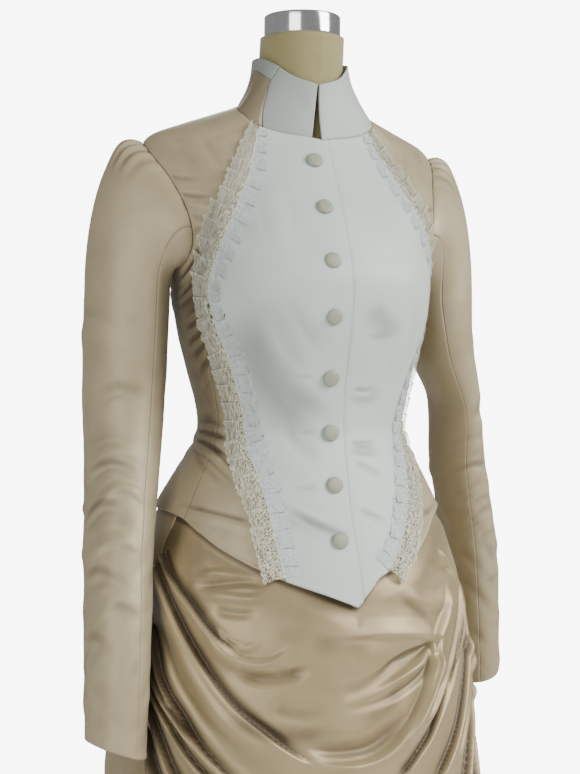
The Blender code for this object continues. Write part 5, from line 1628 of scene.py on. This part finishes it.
# Soft swags, ridges and hollows between the pleats
APRON_FOLDS = (
    # soft folds under the basque on the right
    Fold(((-60, 0.878), (-50, 0.881), (-38, 0.885), (-26, 0.884)),
         -0.0042, 0.0055, 0.009, 0.3, 0.3),
    Fold(((-60, 0.888), (-46, 0.893), (-32, 0.893)), 0.0022, 0.007, 0.006, 0.3, 0.3),
    Fold(((-56, 0.868), (-46, 0.868), (-36, 0.866), (-27, 0.869)), 0.0026, 0.007, 0.009, 0.3, 0.3),
    Fold(((-50, 0.855), (-41, 0.850), (-31, 0.850)), -0.0030, 0.007, 0.009, 0.3, 0.4),
    # nested curls at the end of the upper pleat
    Fold(((-50, 0.836), (-44, 0.822), (-37, 0.815), (-31, 0.820)), 0.0040, 0.0060, 0.007, 0.3, 0.4),
    Fold(((-53, 0.830), (-46, 0.811), (-38, 0.799), (-30, 0.797), (-24, 0.806), (-21, 0.820)),
         0.0056, 0.0070, 0.014, 0.3, 0.4),
    Fold(((-47, 0.830), (-41, 0.817), (-34, 0.817)), -0.0032, 0.0050, 0.006, 0.3, 0.4),
    Fold(((-42, 0.789), (-32, 0.781), (-22, 0.784), (-15, 0.797)), -0.0050, 0.009, 0.012, 0.3, 0.3),
    # the long swag rising to the left hip, and the hollow inside it
    Fold(((-20, 0.694), (-10, 0.686), (0, 0.686), (8, 0.697), (15, 0.718), (22, 0.746), (27, 0.774),
          (31, 0.802)), 0.0095, 0.0060, 0.034, 0.25, 0.10),
    Fold(((-22, 0.716), (-12, 0.703), (0, 0.703), (8, 0.716), (15, 0.740)),
         -0.0062, 0.020, 0.010, 0.3, 0.3),
    Fold(((-30, 0.752), (-22, 0.742), (-10, 0.739)), -0.0040, 0.016, 0.012, 0.3, 0.4),
    # hollow under the smooth top at the left, its notch and the folds that leave it
    Fold(((-14, 0.766), (3, 0.776), (12, 0.792), (20, 0.800), (31, 0.804)),
         -0.0100, 0.0060, 0.020, 0.7, 0.06),
    Fold(((-14, 0.826), (2, 0.824), (12, 0.821), (22, 0.817), (31, 0.812)),
         0.0052, 0.020, 0.007, 0.7, 0.12),
    Fold(((31, 0.806), (35, 0.818), (41, 0.838), (48, 0.872)), 0.0080, 0.012, 0.005, 0.15, 0.3),
    Fold(((-8, 0.752), (5, 0.762), (14, 0.774), (23, 0.788), (31, 0.804)),
         0.0055, 0.006, 0.009, 0.7, 0.06),
    Fold(((-8, 0.744), (2, 0.748), (12, 0.757), (22, 0.772), (29, 0.792)),
         -0.0040, 0.006, 0.008, 0.7, 0.08),
    Fold(((12, 0.700), (18, 0.722), (25, 0.752), (32, 0.790), (38, 0.820)),
         0.0050, 0.005, 0.007, 0.3, 0.3),
    Fold(((16, 0.700), (28, 0.744), (41, 0.782), (56, 0.834), (64, 0.872)),
         0.0060, 0.007, 0.010, 0.2, 0.2),
    Fold(((22, 0.704), (32, 0.740), (46, 0.786), (60, 0.834), (68, 0.868)),
         -0.0050, 0.006, 0.007, 0.2, 0.2),
    Fold(((60, 0.846), (62, 0.800), (66, 0.744), (72, 0.700)), 0.0050, 0.010, 0.012, 0.3, 0.3),
    Fold(((70, 0.870), (72, 0.820), (76, 0.760)), -0.0040, 0.010, 0.010, 0.3, 0.3),
    Fold(((46, 0.914), (52, 0.884), (56, 0.852)), 0.0040, 0.007, 0.007, 0.3, 0.3),
    Fold(((34, 0.898), (44, 0.886), (54, 0.882)), -0.0024, 0.007, 0.008, 0.3, 0.4),
    Fold(((16, 0.872), (26, 0.853), (38, 0.850), (48, 0.866)), 0.0032, 0.016, 0.014, 0.3, 0.3),
    # lower swags
    Fold(((34, 0.650), (46, 0.696), (58, 0.742), (70, 0.800), (78, 0.850)),
         0.0060, 0.008, 0.014, 0.2, 0.2),
    Fold(((-80, 0.698), (-70, 0.644), (-54, 0.568), (-32, 0.488), (-8, 0.454),
          (16, 0.460), (40, 0.514), (62, 0.592), (79, 0.682)), 0.0080, 0.012, 0.026, 0.08, 0.08),
    # bands between the left pleats
    Fold(((-72, 0.862), (-66, 0.832), (-58, 0.792), (-48, 0.748), (-38, 0.716), (-26, 0.690)),
         0.0040, 0.012, 0.014, 0.2, 0.3),
    Fold(((-76, 0.842), (-70, 0.808), (-62, 0.770), (-52, 0.735), (-42, 0.706)),
         -0.0030, 0.010, 0.010, 0.2, 0.3),
    # broad fullness
    Fold(((-20, 0.846), (-4, 0.800), (6, 0.760)), 0.0032, 0.0442, 0.0442, 0.5, 0.5),
    # small dents
    Fold(((-20, 0.820), (-13, 0.813), (-8, 0.816)), -0.0012, 0.0198, 0.0198, 0.5, 0.5),
    Fold(((-6, 0.804), (-2, 0.800), (4, 0.800)), -0.0014, 0.0154, 0.0176, 0.5, 0.5),
    Fold(((-7, 0.768), (-2, 0.765), (5, 0.768)), -0.0013, 0.0154, 0.0154, 0.5, 0.5),
    Fold(((-30, 0.792), (-23, 0.788), (-18, 0.792)), -0.0018, 0.007, 0.008, 0.4, 0.4),
)


def apron_foot(turn):
    share = np.minimum(1.0, np.abs(turn) / APRON_TURN)
    return APRON_SIDE_HEM + (APRON_FRONT_HEM - APRON_SIDE_HEM) * (1 - share ** 1.8)


def under_basque(height, turn, full, fade):
    """Fullness below the basque, pressed flat where the basque lies on it."""
    clear = smooth((basque_foot(turn) - 0.004 - height) / fade)
    return full * clear - UNDER_BASQUE_DROP * (1 - clear)


def hanging_grid(start, end, columns, rows, foot):
    """Heights and turns from a lower edge up to the top of the drapery."""
    turn = np.linspace(start, end, columns)[None, :] * np.ones((rows, 1))
    share = np.linspace(0.0, 1.0, rows)[:, None]
    low = foot(turn)
    return low + (SKIRT_TOP - low) * share, turn


def build_apron():
    """Draped apron overskirt with its swagged folds."""
    rows, columns = 300, 310
    reach = APRON_TURN - DRAPERY_SEAM_TURN
    turn = np.linspace(-reach, reach, columns)[None, :] * np.ones((rows, 1))
    foot = apron_foot(turn)
    step = np.linspace(0.0, 1.0, rows)[:, None]
    share = 0.16 * step + 0.84 * (1 - (1 - step) ** 1.55)
    height = foot + (SKIRT_TOP - foot) * share
    relief = fold_relief(turn, height, APRON_FOLDS, APRON_GIRTH)
    over, line = lap_relief(turn, height, APRON_LAPS, APRON_GIRTH)
    relief = relief + over
    across = np.radians(turn) * APRON_GIRTH
    relief += 0.0024 * soft_noise(across / 0.055, height / 0.048, 61)
    relief += 0.0003 * soft_noise(across / 0.018, height / 0.016, 62)
    relief = np.maximum(relief, -APRON_DEEPEST)
    points = surface_point(height, turn, under_basque(height, turn, relief, 0.022))
    # Painted shadow under the basque's hem
    below_hem = height - basque_foot(turn)
    hem_shadow = 0.75 * bell(below_hem + 0.001, 0.0065) + 0.26 * bell(below_hem + 0.026, 0.034)
    # Painted shade: dark lines along the laps, the hollows and the apron's shadows table
    shade = np.clip(0.85 * line + 0.55 * hollow_shade(relief, 0.0045, 14), 0, 0.92)
    shade = np.maximum(shade, hem_shadow) + fold_relief(turn, height, APRON_SHADOWS, APRON_GIRTH)
    # Painted shade on both sides of the apron, beyond 67 degrees, where the sleeves keep the light
    # off
    shade = np.clip(shade + 0.56 * smooth((np.abs(turn) - 67) / 9), 0, 0.92)
    thing = sheet_object("apron_overskirt_cloth", points, CLOTH, SKIRT_SATIN_PAINTED_LIGHT, shade)
    dress(thing, "apron_overskirt",
          Cut(0.64, 0.66, 0.80, "draped", ("underskirt_front_cloth", "form_body")))


def back_foot(turn):
    side = np.minimum(turn - APRON_TURN, 360 - APRON_TURN - turn)
    return APRON_SIDE_HEM + (BACK_DRAPERY_HEM - APRON_SIDE_HEM) * smooth(side / 60)


def build_back_drapery():
    """Back drapery over the bustle, gathered under the basque."""
    height, turn = hanging_grid(
        APRON_TURN + DRAPERY_SEAM_TURN, 360 - APRON_TURN - DRAPERY_SEAM_TURN, 190, 230, back_foot
    )
    full = np.zeros_like(turn)
    sway = 3.0 * soft_noise(turn / 25.0, height / 0.10, 71)
    for fold in BACK_FOLDS:
        full += fold.full * bell(turn + sway - fold.turn, fold.wide)
    fine = bell((turn + 1.4 * sway) % 5.6 - 2.8, 2.8) * 0.0045 * smooth((height - 0.78) / 0.10)
    upper_puff, lower_puff = (bell(height - middle, 0.115) for middle in BACK_PUFF_HEIGHTS)
    puff = np.maximum(upper_puff, lower_puff)
    inward = smooth((turn - APRON_TURN - 10) / 44) * smooth((350 - APRON_TURN - turn) / 44)
    relief = full * (0.35 + 0.65 * inward) + BACK_PUFF_FULL * puff * inward + fine * inward
    across = np.radians(turn) * 0.26
    relief += 0.0025 * soft_noise(across / 0.040, height / 0.040, 72)
    points = surface_point(height, turn, under_basque(height, turn, relief, 0.036))
    # Painted shade in the hollows of the folds, and a painted shadow under the basque's hem
    shade = 0.55 * hollow_shade(relief, 0.007, 10)
    shade = np.maximum(shade, 0.45 * bell(height - basque_foot(turn) + 0.001, 0.0065))
    thing = sheet_object("back_drapery_cloth", points, CLOTH, SKIRT_SATIN_PAINTED_LIGHT, shade)
    dress(thing, "back_drapery",
          Cut(1.10, 0.72, 0.90, "gathered", ("underskirt_back_cloth", "form_body")))


def build_underskirt():
    """Four underskirt panels from the waist to just above the floor."""
    seams = list(UNDERSKIRT_SEAMS)
    edges = seams + [seams[0] + 360]
    panels = (
        ("underskirt_front", 80, Cut(0.56, 1.06, 0.62, "hung")),
        ("underskirt_left", 70, Cut(0.47, 1.06, 0.62, "hung")),
        ("underskirt_back", 140, Cut(0.92, 1.12, 0.66, "hung")),
        ("underskirt_right", 70, Cut(0.47, 1.06, 0.62, "hung")),
    )
    for (name, columns, cut), start, end in zip(panels, edges[:-1], edges[1:]):
        height, turn = panel_grid(
            UNDERSKIRT_FOOT, UNDERSKIRT_HEAD, 120, columns,
            lambda height: seam_turn(height, start, 1),
            lambda height: seam_turn(height, end, -1),
        )
        under = 0.0055 + (UNDERSKIRT_DROP - 0.0055) * smooth((0.975 - height) / 0.06)
        flutes = UNDERSKIRT_FLUTE_DEPTH * smooth((0.56 - height) / 0.5)
        signed = signed_turn(turn)
        across = np.radians(signed) * 0.3
        uneven = 1 + 0.25 * soft_noise(across / 0.12, height / 0.5, 81)
        lift = flutes * uneven * np.sin(np.radians(turn) * UNDERSKIRT_FLUTES + 0.6) - under
        low_part = smooth((0.62 - height) / 0.2)
        lift += 0.0015 * soft_noise(across / 0.05, height / 0.10, 82) * low_part
        lift += seam_dip(turn, 0.3)
        # Painted shade in the hollows between the flutes
        shade = 0.45 * hollow_shade(lift, 0.006, 12)
        points = surface_point(height, turn, lift)
        thing = sheet_object(name + "_cloth", points, CLOTH, SKIRT_SATIN_PAINTED_LIGHT, shade)
        dress(thing, name, cut)


# Form and stand


def build_form():
    """The smooth limbless form with its closed foot and neck."""
    segments = 96
    turn = 360.0 * np.arange(segments)[None, :] / segments
    hips = np.linspace(FORM_BOTTOM, 0.970, 18)
    torso = np.linspace(0.978, 1.424, 60)
    neck = np.linspace(1.432, FORM_TOP, 16)
    rings = np.concatenate((
        table_point(FORM_HIPS, hips[:, None] + 0 * turn, turn + 0 * hips[:, None]),
        surface_point(torso[:, None] + 0 * turn, turn + 0 * torso[:, None],
                      -FORM_CLEARANCE + 0 * turn + 0 * torso[:, None]),
        table_point(FORM_NECK, neck[:, None] + 0 * turn, turn + 0 * neck[:, None]),
    ))
    seam = 0.0007 * bell(signed_turn(turn) - FORM_SEAM_TURN, FORM_SEAM_WIDTH)
    rings[-len(neck):, :, 1] -= seam
    rows = len(rings)
    index = np.arange(rows * segments).reshape(rows, segments)
    ahead = np.roll(index, -1, axis=1)
    quads = np.stack((index[:-1], ahead[:-1], ahead[1:], index[1:]), -1).reshape(-1, 4).tolist()
    points = rings.reshape(-1, 3).tolist()
    foot, top = len(points), len(points) + 1
    points.append((0.0, 0.0, FORM_BOTTOM))
    points.append((0.0, NECK_MIDDLE, FORM_TOP))
    for step in range(segments):
        following = (step + 1) % segments
        quads.append((following, step, foot))
        last = (rows - 1) * segments
        quads.append((last + step, last + following, top))
    mesh = bpy.data.meshes.new("form_cover")
    mesh.from_pydata(points, [], quads)
    mesh.polygons.foreach_set("use_smooth", np.ones(len(quads), bool))
    mesh.materials.append(JERSEY)
    dress(link(bpy.data.objects.new("form_cover", mesh)), "form_body")


def cylinder(name, radius, low, high, middle, bevel, material, segments=96):
    """A turned metal piece with softened rims, placed in its mesh."""
    bpy.ops.object.select_all(action="DESELECT")
    bpy.ops.mesh.primitive_cylinder_add(
        vertices=segments, radius=radius, depth=high - low, location=(0.0, middle, (low + high) / 2)
    )
    thing = bpy.context.object
    thing.name = name
    thing.data.name = name
    bpy.ops.object.transform_apply(location=True, rotation=True, scale=True)
    soften = thing.modifiers.new("rims", "BEVEL")
    soften.width = bevel
    soften.segments = 4
    soften.limit_method = "ANGLE"
    bpy.ops.object.modifier_apply(modifier="rims")
    bpy.ops.object.shade_smooth_by_angle(angle=0.7)
    thing.data.materials.append(material)
    return thing


def build_stand():
    """Chrome neck cap, steel pole and painted round base."""
    foot = FORM_TOP + PART_GAP
    cap = cylinder(
        "neck_cap_turned", CAP_RADIUS, foot, foot + CAP_HEIGHT, NECK_MIDDLE, 0.0028, CHROME
    )
    dress(cap, "neck_cap")
    pole = cylinder("stand_pole_tube", POLE_RADIUS, POLE_FOOT + PART_GAP,
                    FORM_BOTTOM - PART_GAP, 0.0, 0.0008, STEEL, 48)
    dress(pole, "stand_pole")
    base = cylinder("stand_base_plate", BASE_RADIUS, 0.0, BASE_THICKNESS, 0.0, 0.003, BASE_PAINT)
    dress(base, "stand_base")


# Studio


def area_light(row):
    """A soft rectangular lamp that faces its aim."""
    lamp = bpy.data.lights.new(row.name, "AREA")
    lamp.shape = "RECTANGLE"
    lamp.size, lamp.size_y = row.size
    lamp.energy = row.power
    thing = link(bpy.data.objects.new(row.name, lamp))
    thing.location = row.place
    thing.rotation_euler = (Vector(row.aim) - Vector(row.place)).to_track_quat("-Z", "Y").to_euler()


def build_studio():
    """Camera, soft lights, pale floor and pale surroundings."""
    lens = bpy.data.cameras.new("camera")
    lens.sensor_fit = "VERTICAL"
    lens.sensor_height = SENSOR_HEIGHT
    lens.lens = CAMERA_LENS
    lens.shift_x = SHIFT_ACROSS
    lens.shift_y = SHIFT_UP
    camera = link(bpy.data.objects.new("camera", lens))
    camera.location = CAMERA_PLACE
    camera.rotation_euler = (np.radians(90.0), 0.0, np.radians(CAMERA_TURN))
    bpy.context.scene.camera = camera

    for row in LAMPS:
        area_light(row)

    world = bpy.data.worlds.new("studio")
    world.use_nodes = True
    nodes = Nodes(world.node_tree)
    backdrop = world.node_tree.nodes["Background"]
    backdrop.inputs["Color"].default_value = (1.0, 1.0, 1.0, 1.0)
    seen = nodes.add("LightPath").outputs["Is Camera Ray"]
    strength = nodes.value("MULTIPLY_ADD", seen, ROOM_SEEN, ROOM_LIGHT)
    nodes.join(strength, backdrop.inputs["Strength"])
    bpy.context.scene.world = world

    bpy.ops.object.select_all(action="DESELECT")
    bpy.ops.mesh.primitive_circle_add(
        vertices=96, radius=FLOOR_RADIUS, fill_type="NGON", location=(0.0, 0.0, 0.0)
    )
    floor = bpy.context.object
    floor.name = "floor"
    paper, nodes, shader = new_material("floor_paper")
    grain = nodes.noise(nodes.add("TexCoord").outputs["Object"], 40.0)
    nodes.join(nodes.mixed(grain, (0.90, 0.90, 0.89, 1), (0.94, 0.94, 0.93, 1)),
               shader.inputs["Base Color"])
    shader.inputs["Roughness"].default_value = 0.8
    shader.inputs["Emission Color"].default_value = (1.0, 1.0, 1.0, 1.0)
    glow = nodes.value("MULTIPLY", nodes.add("LightPath").outputs["Is Camera Ray"], FLOOR_GLOW)
    nodes.join(glow, shader.inputs["Emission Strength"])
    floor.data.materials.append(paper)


build_studio()
build_form()
build_stand()
build_underskirt()
build_back_drapery()
build_apron()
build_bodice()
build_plastron()
build_collar()
build_sleeves()
build_lace()
build_buttons()
